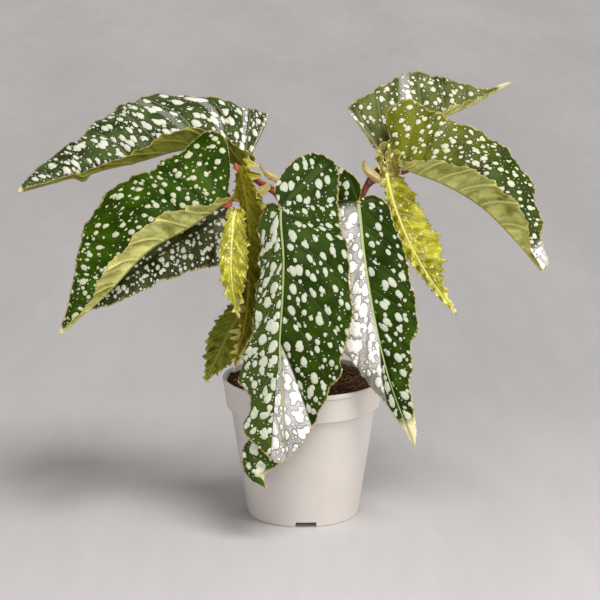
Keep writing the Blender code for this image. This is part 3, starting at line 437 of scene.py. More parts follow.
class Half:
    """One half of a blade laid flat: its margin, read by shares of its run from stalk to tip, and its side
    veins, as feet on the midrib and shares of the margin from the sinus to the tip."""

    def __init__(self, leaf, name, length):
        half = leaf[name]
        if "slim" in half:
            outline = [(a * (half["slim"] if a < 0 else length), c * half["width"]) for a, c in SLIM]
        else:
            outline = np.reshape(half["outline"], (-1, 2))
        self.line, self.run = fine_line(outline, MARGIN_SAMPLES)
        self.length = self.run[-1]
        if "veins" in half:
            feet = [0.0, *(foot for foot, *_ in half["veins"]), length]
            shares = [0.0, *(self.share_of(point) for _, *point in half["veins"]), 1.0]
        else:
            fan, count, main = FAN_SHARE[name], leaf["grow"]["fan"], leaf["grow"]["main"]
            ahead = [k / main for k in range(1, main + 1)]
            feet = [0.0] * (count + 1) + [length * share ** FOOT_LAG for share in ahead]
            shares = [fan * k / count for k in range(count + 1)]
            shares += [fan + (1 - fan) * k / main for k in range(1, main + 1)]
        self.feet = np.array(feet, float)
        self.shares = np.array(shares, float)
        self.fan_last = int(np.sum(self.feet == 0.0)) - 1
        self.fan_rows = max(8, math.ceil(self.shares[self.fan_last] * self.length / MARGIN_PITCH))

    def at(self, shares):
        """Flat points at shares of the run."""
        return read_line(shares * self.length, self.run, self.line)

    def outward(self, shares):
        """Directions away from the blade at shares of the run, on the flat."""
        reach = OUTWARD_REACH / self.length
        tangent = unit(self.at(np.clip(shares + reach, 0, 1)) - self.at(np.clip(shares - reach, 0, 1)))
        return np.stack([-tangent[..., 1], tangent[..., 0]], -1)

    def share_of(self, point):
        """The share of the run that lies nearest a flat point."""
        return self.run[np.argmin(np.linalg.norm(self.line - point, axis=1))] / self.length

    def row_feet(self):
        """Feet of the rows ahead of the stalk, evenly spread over the margin."""
        rows = []
        feet, shares = self.feet[self.fan_last:], self.shares[self.fan_last:]
        for foot, next_foot, share, next_share in zip(feet, feet[1:], shares, shares[1:]):
            span = max((next_share - share) * self.length, next_foot - foot)
            count = max(6, math.ceil(span / MARGIN_PITCH))
            rows += list(foot + (next_foot - foot) * np.arange(count) / count)
        return np.array([*rows, self.feet[-1]])


def waves(points, seed, length, count=7):
    """A smooth random height of about -1 to 1 over flat points, with bumps about `length` wide."""
    draw = random.Random(seed)
    total = np.zeros(points.shape[:-1])
    for _ in range(count):
        turn = draw.uniform(0, 2 * math.pi)
        step = 2 * math.pi / (length * draw.uniform(0.7, 1.5))
        phase = draw.uniform(0, 2 * math.pi)
        total += np.cos((points[..., 0] * math.cos(turn) + points[..., 1] * math.sin(turn)) * step + phase)
    return total / math.sqrt(count)


def teeth(run, grow, seed):
    """How far the margin stands out at distances along its run: slanted teeth of uneven size."""
    draw = random.Random(seed)
    place = 0.0
    knots = [0.0]
    heights = [0.0]
    while place < run.max() + grow["tooth_pitch"]:
        pitch = grow["tooth_pitch"] * draw.uniform(0.6, 1.4)
        height = grow["tooth"] * draw.uniform(0.25, 1.0)
        knots += [place + pitch * 0.7, place + pitch * 0.95]
        heights += [height, -0.25 * height]
        place += pitch
    return np.interp(run, knots, heights)


def rib_drift(leaf, along):
    """How far the midrib lies on the wide half's side of the fold at distances along the leaf."""
    begin, end, most = leaf.get("drift", (0.0, 1.0, 0.0))
    return most * np.clip((along - begin) / (end - begin), 0, 1)


def blade_grid(leaf, midrib, name, half, feet):
    """Flat and spatial points of one half in rows and columns, and what its material needs to know there."""
    grow, seed = leaf["grow"], leaf["seed"]
    length = half.feet[-1]
    fan_index = np.linspace(0, half.fan_last, half.fan_rows + 1)[:-1]
    main_index = np.interp(feet, half.feet[half.fan_last:], np.arange(half.fan_last, len(half.feet)))
    index = np.concatenate([fan_index, main_index])
    foot = np.concatenate([np.zeros(len(fan_index)), feet])
    shares = np.interp(index, np.arange(len(half.shares)), half.shares)
    start = np.stack([foot, np.zeros_like(foot)], -1)
    ray = half.at(shares) - start
    reach = np.linalg.norm(ray, axis=1)[:, None]
    columns = max(6, math.ceil(reach.max() / COLUMN_PITCH))
    out = np.linspace(0, 1, columns + 1)
    out = out * (1 - 0.25 * np.sin(math.pi * out) * (1 - out))      # closer together at the midrib
    flat = start[:, None] + ray[:, None] * out[:, None]
    flat[..., 0] -= 0.05 * reach * np.sin(math.pi * out) * smoothstep(foot, 0, 20)[:, None]
    stand = teeth(shares * half.length, grow, seed * 10 + HALVES.index(name))
    stand = stand * smoothstep(shares, 0.0, 0.05) * (1 - smoothstep(shares, 0.985, 1.0))
    flat += (half.outward(shares) * stand[:, None])[:, None] * (out ** 10)[:, None]

    # distance to the nearest side vein
    low = np.clip(np.floor(index).astype(int), 0, len(half.feet) - 2)
    phase = (index - low)[:, None]

    def vein_points(number):
        begin = np.stack([half.feet[number], np.zeros(len(number))], -1)
        return begin[:, None] + (half.at(half.shares[number]) - begin)[:, None] * out[:, None]

    gap = vein_points(low + 1) - vein_points(low)
    direction = unit(ray)[:, None]
    spacing = np.abs(gap[..., 0] * direction[..., 1] - gap[..., 1] * direction[..., 0])
    along = flat[..., 0]
    across = np.maximum(flat[..., 1], -8.0)
    space, normal = embed(leaf, midrib, name, along, across)

    # how far each point is lifted off the smooth blade
    index = index[:, None]
    share = np.broadcast_to(shares[:, None], along.shape)
    run = share * half.length
    turns = 2 * math.pi * index
    wave = grow["wave"] * np.cos(turns + seed) * out ** 3
    ripple = grow["ripple"] * np.cos(2.63 * turns + 2 * seed) * out ** 5
    lift = np.minimum(across / leaf[name]["width"], 1) * (1 - share ** 6) * (wave + ripple)
    lift += leaf.get("ruffle", 0.0) * np.cos(4.1 * turns + seed) * out ** 3
    sag_at, sag_width, sag_depth = leaf.get("sag", (0.0, 1.0, 0.0))
    lift -= sag_depth * np.exp(-((along - sag_at) / sag_width) ** 2 - (across / 5.0) ** 2)
    lift += grow["spikes"] * np.sin(2 * math.pi * run / 9.3 + 1.7 * np.sin(run / 11)) * out ** 3
    rounding = np.sin(math.pi * phase) ** 0.7 * np.minimum(spacing / 14, 1)
    lift += leaf.get("bulge", grow["bulge"]) * rounding * smoothstep(out, 0, 0.25) * (1 - 0.5 * out ** 4)
    lift += grow["crumple"] * waves(flat, seed + 50, 8.5) * smoothstep(across, 0, 6)
    lift += 0.35 * grow["crumple"] * waves(flat, seed + 51, 4.2) * smoothstep(across, 0, 4)
    lift += 0.8 * waves(flat, seed + 90, 45.0) * smoothstep(across, 4, 30)
    sign = 1 if name == "wide" else -1
    from_rib = sign * np.where(along < 0, np.hypot(along, across), np.abs(across)) - rib_drift(leaf, along)
    lift -= 0.45 * np.exp(-(from_rib / 1.2) ** 2)

    # The painted reflection: how strongly each point gets the pale silvery sheen painted over its listed vein
    # panels.
    painted_sheen = np.zeros_like(along)
    for first, last, strength, begin, end in leaf[name].get("painted_sheen", ()):
        within = smoothstep(index, first - 0.03, first + 0.03)
        within = within * (1 - smoothstep(index, last - 0.03, last + 0.03))
        stretch = smoothstep(along, begin - 4, begin + 8) * (1 - smoothstep(along, end - 14, end + 6))
        painted_sheen = np.maximum(painted_sheen, strength * within * stretch)
    narrow = name == "narrow"
    tip = leaf.get("crowd_tip", 0.0) * smoothstep(along, 0.5 * length, 0.85 * length)
    crowd = np.maximum(leaf.get("crowd_narrow" if narrow else "crowd", 0.0), tip)
    narrowing = 1 - 0.72 * np.clip(along / length, 0, 1) ** 0.7
    values = {"vein": np.minimum(phase, 1 - phase) * spacing, "rim": (1 - out) * reach * 0.8,
              "rib": from_rib / (RIB_LINE * narrowing), "painted_sheen": painted_sheen, "crowd": np.maximum(crowd, painted_sheen),
              "mist": np.full_like(along, leaf.get("mist", 0.0) if narrow else 0.0), "share": share}
    return flat, space + normal * lift[..., None], values


def mesh_normals(points, faces):
    """Vertex normals of a mesh of triangles and quads."""
    total = np.zeros_like(points)
    for corners in faces:
        a, b, c = points[corners[0]], points[corners[1]], points[corners[2]]
        normal = np.cross(b - a, c - a)
        if len(corners) == 4:
            normal = normal + np.cross(c - a, points[corners[3]] - a)
        for corner in corners:
            total[corner] += normal
    return unit(total)


def link(name, data):
    """Put a new object into the scene."""
    made = bpy.data.objects.new(name, data)
    bpy.context.scene.collection.objects.link(made)
    return made


def link_smooth(name, mesh, materials):
    """Put a mesh into the scene under a name, shaded smooth, with its materials."""
    for material in materials:
        mesh.materials.append(material)
    mesh.shade_smooth()
    return link(name, mesh)


def baked(shape, name):
    """A mesh with what a bmesh holds."""
    mesh = bpy.data.meshes.new(name)
    shape.to_mesh(mesh)
    shape.free()
    return mesh


def belong(piece, node=None):
    """Fix a piece to the plant's one body, and in place of a CAD node."""
    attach(piece, "root")
    if node:
        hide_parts(node)


def grid_faces(ids, flip=False):
    """The faces between rows and columns of points, without repeated corners."""
    faces = []
    for row, following in zip(ids.tolist(), ids[1:].tolist()):
        for corners in zip(row, row[1:], following[1:], following):
            corners = [v for k, v in enumerate(corners) if v != corners[k - 1]]
            if len(corners) > 2:
                faces.append(corners[::-1] if flip else corners)
    return faces


def rim_edges(loop, flip=False):
    """The edges along a loop of points, turned so that they fit the faces of grid_faces."""
    edges = [(int(a), int(b)) for a, b in zip(loop, loop[1:]) if a != b]
    return edges if flip else [(b, a) for a, b in edges]


def whole_grid(rows, columns):
    """Numbered points in rows and columns, and the loop round all of them."""
    ids = np.arange(rows * columns).reshape(rows, columns)
    return ids, [*ids[0], *ids[1:, -1], *ids[-1, -2::-1], *ids[-2::-1, 0]]


def thin_shell(name, top, faces, edges, thick, values, materials):
    """A thin closed shell with its top, its underside and the rim between them, in up to three materials.
    values holds what the materials need to know at each point of the top and the point under it."""
    count = len(top)
    under = [[v + count for v in corners[::-1]] for corners in faces]
    rim = [[a, b, b + count, a + count] for a, b in edges]
    points = np.concatenate([top, top - mesh_normals(top, faces) * thick]) * MM
    mesh = bpy.data.meshes.new(name)
    mesh.from_pydata([tuple(point) for point in points], [], faces + under + rim)
    mesh.update()
    if len(materials) > 1:
        mesh.polygons.foreach_set("material_index", [0] * len(faces) + [1] * len(under) + [2] * len(rim))
    for key, given in values.items():
        attribute = mesh.attributes.new(key, "FLOAT", "POINT")
        attribute.data.foreach_set("value", np.tile(given, 2).astype(np.float32))
    return link_smooth(name, mesh, materials)


def top_points(mesh):
    """For each corner of a thin shell's faces, the point of the top that it is or lies under."""
    vertex = np.zeros(len(mesh.loops), int)
    mesh.loops.foreach_get("vertex_index", vertex)
    return vertex % (len(mesh.vertices) // 2)


def uv_map(mesh, name, places):
    """A UV map with a place for each corner of each face."""
    layer = mesh.uv_layers.new(name=name)
    layer.data.foreach_set("uv", places.astype(np.float32).ravel())


def make_blade(piece_name, leaf, materials):
    """A leaf as a thin closed shell: upper face, underside with its ribs, and the rim between them."""
    grow = leaf["grow"]
    midrib = Midrib(leaf["stations"])
    length = leaf.get("blade_end", midrib.length)
    halves = {name: Half(leaf, name, length) for name in HALVES}
    feet = halves["wide"].row_feet()
    grids = {name: blade_grid(leaf, midrib, name, halves[name], feet) for name in HALVES}

    # the midrib's own points take the wide half's lift
    _, space, values = grids["wide"]
    on_rib = np.s_[halves["wide"].fan_rows:, 0]
    none = np.zeros(len(feet))
    tops = [space[on_rib]]
    flats = [np.stack([feet, none], -1)]
    data = {"vein": [none + SPINE_CLEAR], "rim": [none + SPINE_CLEAR], "rib": [-rib_drift(leaf, feet)],
            "painted_sheen": [none], "crowd": [none], "mist": [none], "share": [values["share"][on_rib]]}
    count = len(feet)
    faces, edges, face_signs, edge_signs = [], [], [], []
    for name in HALVES:
        flat, space, values = grids[name]
        rows, columns = flat.shape[:2]
        ids = np.zeros((rows, columns), int)
        ids[:, 0] = np.maximum(np.arange(rows) - halves[name].fan_rows, 0)
        ids[:-1, 1:] = count + np.arange((rows - 1) * (columns - 1)).reshape(rows - 1, columns - 1)
        ids[-1] = len(feet) - 1
        count += (rows - 1) * (columns - 1)
        tops.append(space[:-1, 1:].reshape(-1, 3))
        flats.append(flat[:-1, 1:].reshape(-1, 2))
        for key, parts in data.items():
            parts.append(values[key][:-1, 1:].ravel())
        flip = (leaf["side"] > 0) != (name == "wide")
        sign = 1 if name == "wide" else -1
        faces += grid_faces(ids, flip)
        edges += rim_edges([*ids[0], *ids[1:, -1]], flip)
        face_signs += [sign] * (len(faces) - len(face_signs))
        edge_signs += [sign] * (len(edges) - len(edge_signs))
    flat = np.concatenate(flats)
    data = {key: np.concatenate(parts) for key, parts in data.items()}
    share = data.pop("share")
    thick = grow["blade"] * (0.55 + 0.45 * smoothstep(data["rim"], 0, 4))
    thick += grow["rib_deep"] * (1 - 0.75 * share) * np.exp(-data["rib"] ** 2)
    thick += grow["vein_deep"] * np.exp(-(data["vein"] / 0.55) ** 2) * smoothstep(data["rim"], 0, 12)
    cream = leaf["cream"]
    data["cream"] = smoothstep(flat[:, 0] - length, -cream, -0.6 * cream) if cream else 0 * share
    data["olive"] = 1 - smoothstep(flat[:, 0], 0, leaf.get("olive", 0) + 1)
    piece = thin_shell(piece_name, np.concatenate(tops), faces, edges, thick[:, None], data, materials)
    add_leaf_uv(piece.data, leaf, flat, face_signs * 2 + edge_signs)
    return piece


def add_leaf_uv(mesh, leaf, flat, signs):
    """Two UV maps: `flat` along and across, and `grain` turned to run along the side veins. signs says for
    each face whether it lies in the wide half (1) or the narrow one (-1)."""
    totals = np.zeros(len(mesh.polygons), int)
    mesh.polygons.foreach_get("loop_total", totals)
    sign = np.repeat(signs, totals)
    along, across = flat[top_points(mesh)].T
    turn = math.radians(leaf.get("grain", 38))
    off = np.abs(across)
    apart = np.where(sign > 0, 0, NARROW_SHIFT)
    grain = np.stack([along * math.cos(turn) + off * math.sin(turn),
                      -along * math.sin(turn) + off * math.cos(turn) + apart], -1)
    shift = leaf["seed"] * UV_SHIFT
    uv_map(mesh, "flat", np.stack([along, across * sign], -1) / UV_UNIT + shift)
    uv_map(mesh, "grain", grain / UV_UNIT + shift)


def make_curled_tip(materials):
    """The centre leaf's end, which curls back so that it shows under the blade's golden edge."""
    leaf = LEAVES["leaf_centre"]
    midrib = Midrib(leaf["stations"])
    along = np.linspace(TIP_LEFT[0][0], TIP_LEFT[-1][0], TIP_ROWS)[:, None]
    left = np.interp(along, *zip(*TIP_LEFT))
    right = np.interp(along, *zip(*TIP_RIGHT))
    out = np.linspace(0, 1, TIP_COLUMNS + 1)
    across = -left + (left + right) * out
    across[:, :1] += 0.5 * np.sin(along * 1.9) + 0.4 * np.sin(along * 3.1 + 1)      # a ragged edge
    grid_along = np.repeat(along, TIP_COLUMNS + 1, axis=1)
    narrow, narrow_up = embed(leaf, midrib, "narrow", grid_along, np.maximum(-across, 0))
    wide, wide_up = embed(leaf, midrib, "wide", grid_along, np.maximum(across, 0))
    is_narrow = across[..., None] < 0
    flat = np.stack([grid_along, np.abs(across)], -1)
    lift = -TIP_BEHIND + 1.4 * np.sin(math.pi * out) + 0.5 * waves(flat, 31, 9.0)
    top = np.where(is_narrow, narrow, wide) + np.where(is_narrow, narrow_up, wide_up) * lift[..., None]
    rim = np.minimum(np.minimum(across + left, right - across), along[-1] - along + 0.3)
    cream = smoothstep(grid_along, 192, 200) * smoothstep(across + left, 9, 12)
    everywhere = np.ones(top.shape[0] * top.shape[1])
    data = {"vein": 4.0 * everywhere, "rib": 9.0 * everywhere, "painted_sheen": 0 * everywhere,
            "rim": np.maximum(rim, 0).ravel(), "olive": 0 * everywhere, "crowd": everywhere,
            "mist": 0.6 * everywhere, "cream": cream.ravel()}
    ids, loop = whole_grid(TIP_ROWS, TIP_COLUMNS + 1)
    piece = thin_shell("leaf_centre_tip", top.reshape(-1, 3), grid_faces(ids.T), rim_edges(loop[::-1]),
                       TIP_THICK, data, materials)
    places = flat.reshape(-1, 2)[top_points(piece.data)] / UV_UNIT + 0.37
    for layer in ("flat", "grain"):
        uv_map(piece.data, layer, places)
    belong(piece)


CREAM = srgb(226, 218, 172)
GOLD_RIM = srgb(212, 190, 132)


class Nodes:
    """Builds a material's nodes with short calls. Inputs may be values of other nodes or constants."""

    def __init__(self, name):
        self.material = bpy.data.materials.new(name)
        self.material.use_nodes = True
        self.tree = self.material.node_tree

    def feed(self, socket, given):
        """Link a value of another node to a socket, or set a constant on it."""
        if isinstance(given, Value):
            self.tree.links.new(given.socket, socket)
        else:
            socket.default_value = (*given, 1.0) if socket.type == "RGBA" else given

    def make(self, kind, inputs, output=0, **settings):
        """A node with its settings and inputs, and the value that it gives out."""
        made = self.tree.nodes.new(kind)
        for key, setting in settings.items():
            setattr(made, key, setting)
        for key, given in inputs.items():
            self.feed(made.inputs[key], given)
        return Value(self, made.outputs[output])

    def mix(self, amount, a, b):
        return self.make("ShaderNodeMix", {"Factor": amount, 6: a, 7: b}, 2, data_type="RGBA")

    def noise(self, place, scale, detail=3.0, roughness=0.5, distortion=0.0, output="Fac"):
        return self.make("ShaderNodeTexNoise", {"Vector": place, "Scale": scale, "Detail": detail,
                                                "Roughness": roughness, "Distortion": distortion}, output)

    def cells(self, place, scale, randomness=1.0, feature="F1", dimensions="2D"):
        """How far each place is from its cell's middle or, for DISTANCE_TO_EDGE, from the cell's edge."""
        inputs = {"Vector": place, "Scale": scale, "Randomness": randomness}
        return self.make("ShaderNodeTexVoronoi", inputs, "Distance", feature=feature,
                         voronoi_dimensions=dimensions)

    def uv(self, name):
        return self.make("ShaderNodeUVMap", {}, uv_map=name)

    def attribute(self, name):
        return self.make("ShaderNodeAttribute", {}, "Fac", attribute_name=name)

    def object_place(self):
        return self.make("ShaderNodeTexCoord", {}, "Object")

    def place_mm(self):
        return self.object_place().scaled(1 / MM)

    def bump(self, height, distance, strength):
        return self.make("ShaderNodeBump", {"Strength": strength, "Distance": distance, "Height": height})

    def finish(self, glow=None, radius=None, **values):
        """Feed the shader, with how much light spreads under the skin and how far in metres."""
        if radius:
            values |= {"Subsurface_Weight": glow, "Subsurface_Radius": radius, "Subsurface_Scale": 1.0}
        for key, given in values.items():
            self.feed(self.tree.nodes["Principled BSDF"].inputs[key.replace("_", " ")], given)
        return self.material


class Value:
    """What a node gives out. Sums, products and the calls below make the nodes that work them out."""

    def __init__(self, nodes, socket):
        self.nodes = nodes
        self.socket = socket

    def other(self, output):
        """Another output of the same node."""
        return Value(self.nodes, self.socket.node.outputs[output])

    def math(self, operation, other=0.0):
        return self.nodes.make("ShaderNodeMath", {0: self, 1: other}, operation=operation)

    def __add__(self, other):
        return self.math("ADD", other)

    def __sub__(self, other):
        return self.math("SUBTRACT", other)

    def __mul__(self, other):
        return self.math("MULTIPLY", other)

    def held(self):
        """The sum, difference or product kept between 0 and 1."""
        self.socket.node.use_clamp = True
        return self

    def step(self, low, high):
        """A smooth step from 0 at low to 1 at high."""
        ends = {"Value": self, "From Min": low, "From Max": high}
        return self.nodes.make("ShaderNodeMapRange", ends, "Result", interpolation_type="SMOOTHSTEP")

    def span(self, low, high, to_low, to_high):
        """From to_low at low straight to to_high at high."""
        ends = {"Value": self, "From Min": low, "From Max": high, "To Min": to_low, "To Max": to_high}
        return self.nodes.make("ShaderNodeMapRange", ends, "Result")

    def mix(self, amount, colour):
        """This colour with an amount of another."""
        return self.nodes.mix(amount, self, colour)

    def vector(self, operation, other):
        return self.nodes.make("ShaderNodeVectorMath", {0: self, 1: other}, operation=operation)

    def scaled(self, factor):
        return self.nodes.make("ShaderNodeVectorMath", {0: self, "Scale": factor}, operation="SCALE")


def leaf_nodes(name):
    """A leaf material's nodes, and what all of them use: places on the flat and along the grain in
    millimetres, distances to the side vein and the rim, and the distance to the midrib in its own widths."""
    nodes = Nodes(name)
    return (nodes, nodes.uv("flat").scaled(UV_UNIT), nodes.uv("grain").scaled(UV_UNIT),
            nodes.attribute("vein"), nodes.attribute("rim"), nodes.attribute("rib").math("ABSOLUTE"))


def spot_mask(nodes, grain, layers, vein, rim, rib):
    """Round spots of several sizes: how far inside a spot each place is, in millimetres, below 0 outside.
    Where the leaf's crowd attribute is high, they are larger and closer together.

    Each layer is (cell, least and most radius, share of the cells that have a spot, shift, stretch)."""
    warp = nodes.noise(grain, 0.17, 2.0, output="Color").vector("SUBTRACT", (0.5, 0.5, 0.5)).scaled(2.2)
    place = grain.vector("ADD", warp)
    crowd = nodes.attribute("crowd")
    clear = vein.step(0.0, 1.5) * rib.step(0.7, 3.0) * rim.step(0.4, 6.0).span(0, 1, 0.45, 1.0)
    clear = clear * crowd.span(0, 1, 1.0, 1.55)
    deepest = None
    for cell, least, most, share, shift, stretch in layers:
        spread = place.vector("ADD", (shift, shift * 0.7, 0)).vector("MULTIPLY", (1 / stretch, 1, 1))
        distance = nodes.cells(spread, 1 / cell, 0.85)
        red = nodes.make("ShaderNodeSeparateColor", {0: distance.other("Color")})
        radius = red.span(0, 1, least, most) * (clear * 0.65 + 0.35)
        without = red.other(1).math("GREATER_THAN", crowd * 0.35 + share) * 9.0
        depth = radius - distance * cell - without
        deepest = depth if deepest is None else deepest.math("MAXIMUM", depth)
    return deepest


def leaf_top(name, dark, light, spot, layers, veil=0.0, vein_amount=0.15, vein_colour=srgb(112, 130, 72),
             rib_colour=srgb(168, 186, 104), rim_colour=GOLD_RIM, roughness=0.42, shine=0.06, glow=0.0,
             net=0.15, olive=None, outline=1.0):
    """The spotted upper face of a leaf. outline is how strongly painted shade darkens the spots' edges and
    the ring round them.
    """
    nodes, flat, grain, vein, rim, rib = leaf_nodes(name)
    clouds = nodes.noise(flat, 0.045, 3.0)
    fine = nodes.noise(flat, 0.5, 3.0)
    shade = (clouds.step(0.32, 0.70) + (fine - 0.5) * 0.5).held()
    # Painted shade: the blade darkens within 5 mm of each side vein, where the quilted panels dip into the
    # vein furrows.
    base = nodes.mix(shade * vein.step(0.0, 5.0).span(0, 1, 0.35, 1.0), dark, light)
    if veil:
        base = base.mix(clouds.step(0.3, 0.6) * veil, srgb(126, 138, 104))
    # The narrow half is paled, its spots too: partly its own paler green, partly painted sheen.
    mist = (nodes.attribute("mist") * fine.span(0.3, 0.7, 0.4, 0.7)).held()
    base = base.mix(mist, srgb(86, 108, 44))
    if olive:
        base = base.mix((nodes.attribute("olive") * clouds.span(0.35, 0.6, 0.5, 1.0)).held(), olive)
    # Painted reflection: the listed vein panels get a pale silvery sheen painted into their colour, and their
    # spots are painted nearly white.
    sheen_paint = (nodes.attribute("painted_sheen") * fine.span(0.3, 0.7, 0.8, 1.0)).held()
    base = base.mix(sheen_paint, nodes.mix(clouds.step(0.35, 0.6), srgb(214, 208, 206), srgb(184, 179, 175)))
    base = base.mix(vein.step(0.7, 0.15) * rim.step(1.0, 9.0) * vein_amount, vein_colour)

    # spots, each in a ring of painted shade; under the painted reflection they are painted nearly white
    depth = spot_mask(nodes, grain, layers, vein, rim, rib)
    spots = depth.step(-0.12, 0.16)
    ring = (depth.step(-0.85, -0.1) - spots).held()
    base = base.mix(ring * (0.6 * outline), dimmed(dark, 0.4))
    # The spots' random mottle, and painted shade towards each spot's edge.
    spot_mottle_and_shade = nodes.noise(flat, 0.7, 2.0).step(0.35, 0.75) * 0.5
    spot_mottle_and_shade = (spot_mottle_and_shade + depth.step(0.9, 0.0) * 0.6).held() * outline
    spot_colour = nodes.mix(spot_mottle_and_shade, spot, dimmed(spot, 0.68)).mix(mist, srgb(232, 236, 212))
    base = base.mix(spots, spot_colour.mix(sheen_paint, srgb(252, 250, 246)))

    # midrib, toothed edge and tip
    rib_line = rib.step(1.15, 0.75)
    rib_side = (rib.step(2.4, 1.2) - rib_line).held()
    base = base.mix(rib_side * 0.4, dimmed(dark, 0.5)).mix(rib_line * 0.9, rib_colour)
    gold = rim.step(nodes.noise(flat, 0.33, 2.0).span(0.3, 0.7, 0.4, 2.1), 0.1)
    rust = nodes.noise(flat, 0.3, 2.0).step(0.48, 0.62)
    base = base.mix(gold * 0.9, nodes.mix(rust, rim_colour, dimmed(rim_colour, 0.36)))
    base = base.mix(nodes.attribute("cream"), CREAM)
    network = nodes.cells(flat, 0.28, feature="DISTANCE_TO_EDGE")
    height = network.step(0.0, 0.35) * net + nodes.cells(flat, 2.6) * 0.06 + depth.step(-0.3, 1.3) * 0.9
    rough = {"Factor": spots, 2: roughness, 3: roughness + 0.12}
    rough = nodes.make("ShaderNodeMix", rough, data_type="FLOAT")
    return nodes.finish(glow, (0.0014, 0.0020, 0.0005), Base_Color=base, Roughness=rough,
                        Normal=nodes.bump(height, 0.0005, 0.8), Specular_IOR_Level=shine)


def leaf_under(name, deep, pale, rib_colour, rim_colour=srgb(188, 158, 92), glow=0.0, olive=None,
               rim_width=1.6):
    """The plain underside: paler than the top, softly wrinkled by the veins."""
    nodes, flat, grain, vein, rim, rib = leaf_nodes(name)
    folds = nodes.noise(grain.vector("MULTIPLY", (0.35, 1.0, 1.0)), 0.15, 2.0, 0.5, 0.5)
    clouds = nodes.noise(flat, 0.05, 3.0)
    # Painted shade: the underside darkens in the troughs of its wrinkles and within 5 mm of each side vein.
    shade = (clouds.step(0.3, 0.7) * 0.45 + folds.step(0.36, 0.64) * 0.47).held()
    shade = (shade + 0.11).held() * vein.step(0.0, 5.0).span(0, 1, 0.6, 1.0)
    base = nodes.mix(shade, deep, pale)
    if olive:
        base = base.mix((nodes.attribute("olive") * shade.span(0, 1, 0.55, 1.0)).held(), olive)
    network = nodes.cells(flat, 0.26, feature="DISTANCE_TO_EDGE")
    bright = tuple(min(v, 1.0) for v in dimmed(pale, 1.15))
    base = base.mix(network.step(0.10, 0.0) * 0.15, bright).mix(vein.step(1.0, 0.2) * 0.6, bright)
    base = base.mix(rib.step(1.5, 0.9) * 0.8, rib_colour)
    gold = rim.step(nodes.noise(flat, 0.35, 2.0).span(0.3, 0.7, 0.25 * rim_width, rim_width), 0.1)
    base = base.mix(gold * 0.75, rim_colour).mix(nodes.attribute("cream"), CREAM)
    height = folds * 1.6 + network.step(0.3, 0.0) * 0.2
    return nodes.finish(glow, (0.0016, 0.0020, 0.0005), Base_Color=base, Roughness=0.5,
                        Normal=nodes.bump(height, 0.0012, 1.0), Specular_IOR_Level=0.1)


def leaf_rim(name, light, dark):
    """The thin edge between the two faces."""
    nodes = Nodes(name)
    mottle = nodes.noise(nodes.uv("flat").scaled(UV_UNIT), 0.4, 2.0)
    return nodes.finish(Base_Color=nodes.mix(mottle.step(0.4, 0.65), light, dark), Roughness=0.5)


def stalk_material(name, red, brown, fleck):
    """Stalk skin: red to brown along it, with fine pale flecks."""
    nodes = Nodes(name)
    place = nodes.place_mm()
    base = nodes.mix(nodes.noise(place, 0.06, 3.0).step(0.35, 0.65), red, brown)
    streaks = nodes.noise(place.vector("MULTIPLY", (1.0, 1.0, 0.25)), 0.8, 3.0)
    base = base.mix(streaks.step(0.45, 0.75) * 0.35, dimmed(red, 1.5))
    dots = nodes.cells(place, 0.55, dimensions="3D").step(0.22, 0.12)
    return nodes.finish(0.15, (0.002, 0.0008, 0.0004), Base_Color=base.mix(dots * 0.6, fleck), Roughness=0.38,
                        Normal=nodes.bump(streaks + dots * 0.4, 0.0003, 0.6))


def around(ring):
    """Each corner of a closed ring with the one after it."""
    return zip(ring, ring[1:] + ring[:1])


def tube_into(shape, line, radii, sides, bumps=None):
    """Add a closed tube along a line to a bmesh, rounded off at both ends."""
    tangent = unit(np.gradient(line, axis=0))
    side = unit(np.cross(tangent[0], (0.3, 0.5, 0.8)))
    bumps = np.zeros((len(line), sides)) if bumps is None else bumps
    rings = []
    for point, forward, radius, bump in zip(line, tangent, radii, bumps):
        side = unit(side - np.dot(side, forward) * forward)
        other = np.cross(forward, side)
        ring = []
        for k in range(sides):
            turn = 2 * math.pi * k / sides
            spread = radius * (1 + bump[k])
            outward = side * math.cos(turn) + other * math.sin(turn)
            ring.append(shape.verts.new((point + outward * spread) * MM))
        rings.append(ring)
    first = shape.verts.new((line[0] - tangent[0] * radii[0] * 0.5) * MM)
    last = shape.verts.new((line[-1] + tangent[-1] * radii[-1] * 0.5) * MM)
    for low, high in zip(rings, rings[1:]):
        for (a, b), (c, d) in zip(around(low), around(high)):
            shape.faces.new((a, b, d, c))
    for (a, b), (c, d) in zip(around(rings[0]), around(rings[-1])):
        shape.faces.new((first, b, a))
        shape.faces.new((last, c, d))


def stalk_end(leaf):
    """Where a stalk runs into the blade: inside the rib, at the leaf's stalk point."""
    point, forward, up, _ = Midrib(leaf["stations"]).frame(np.array([0.0]))
    return (point - up * (RIB * 0.5))[0], (point - up * (RIB + STALK_END_RADIUS))[0], forward[0]


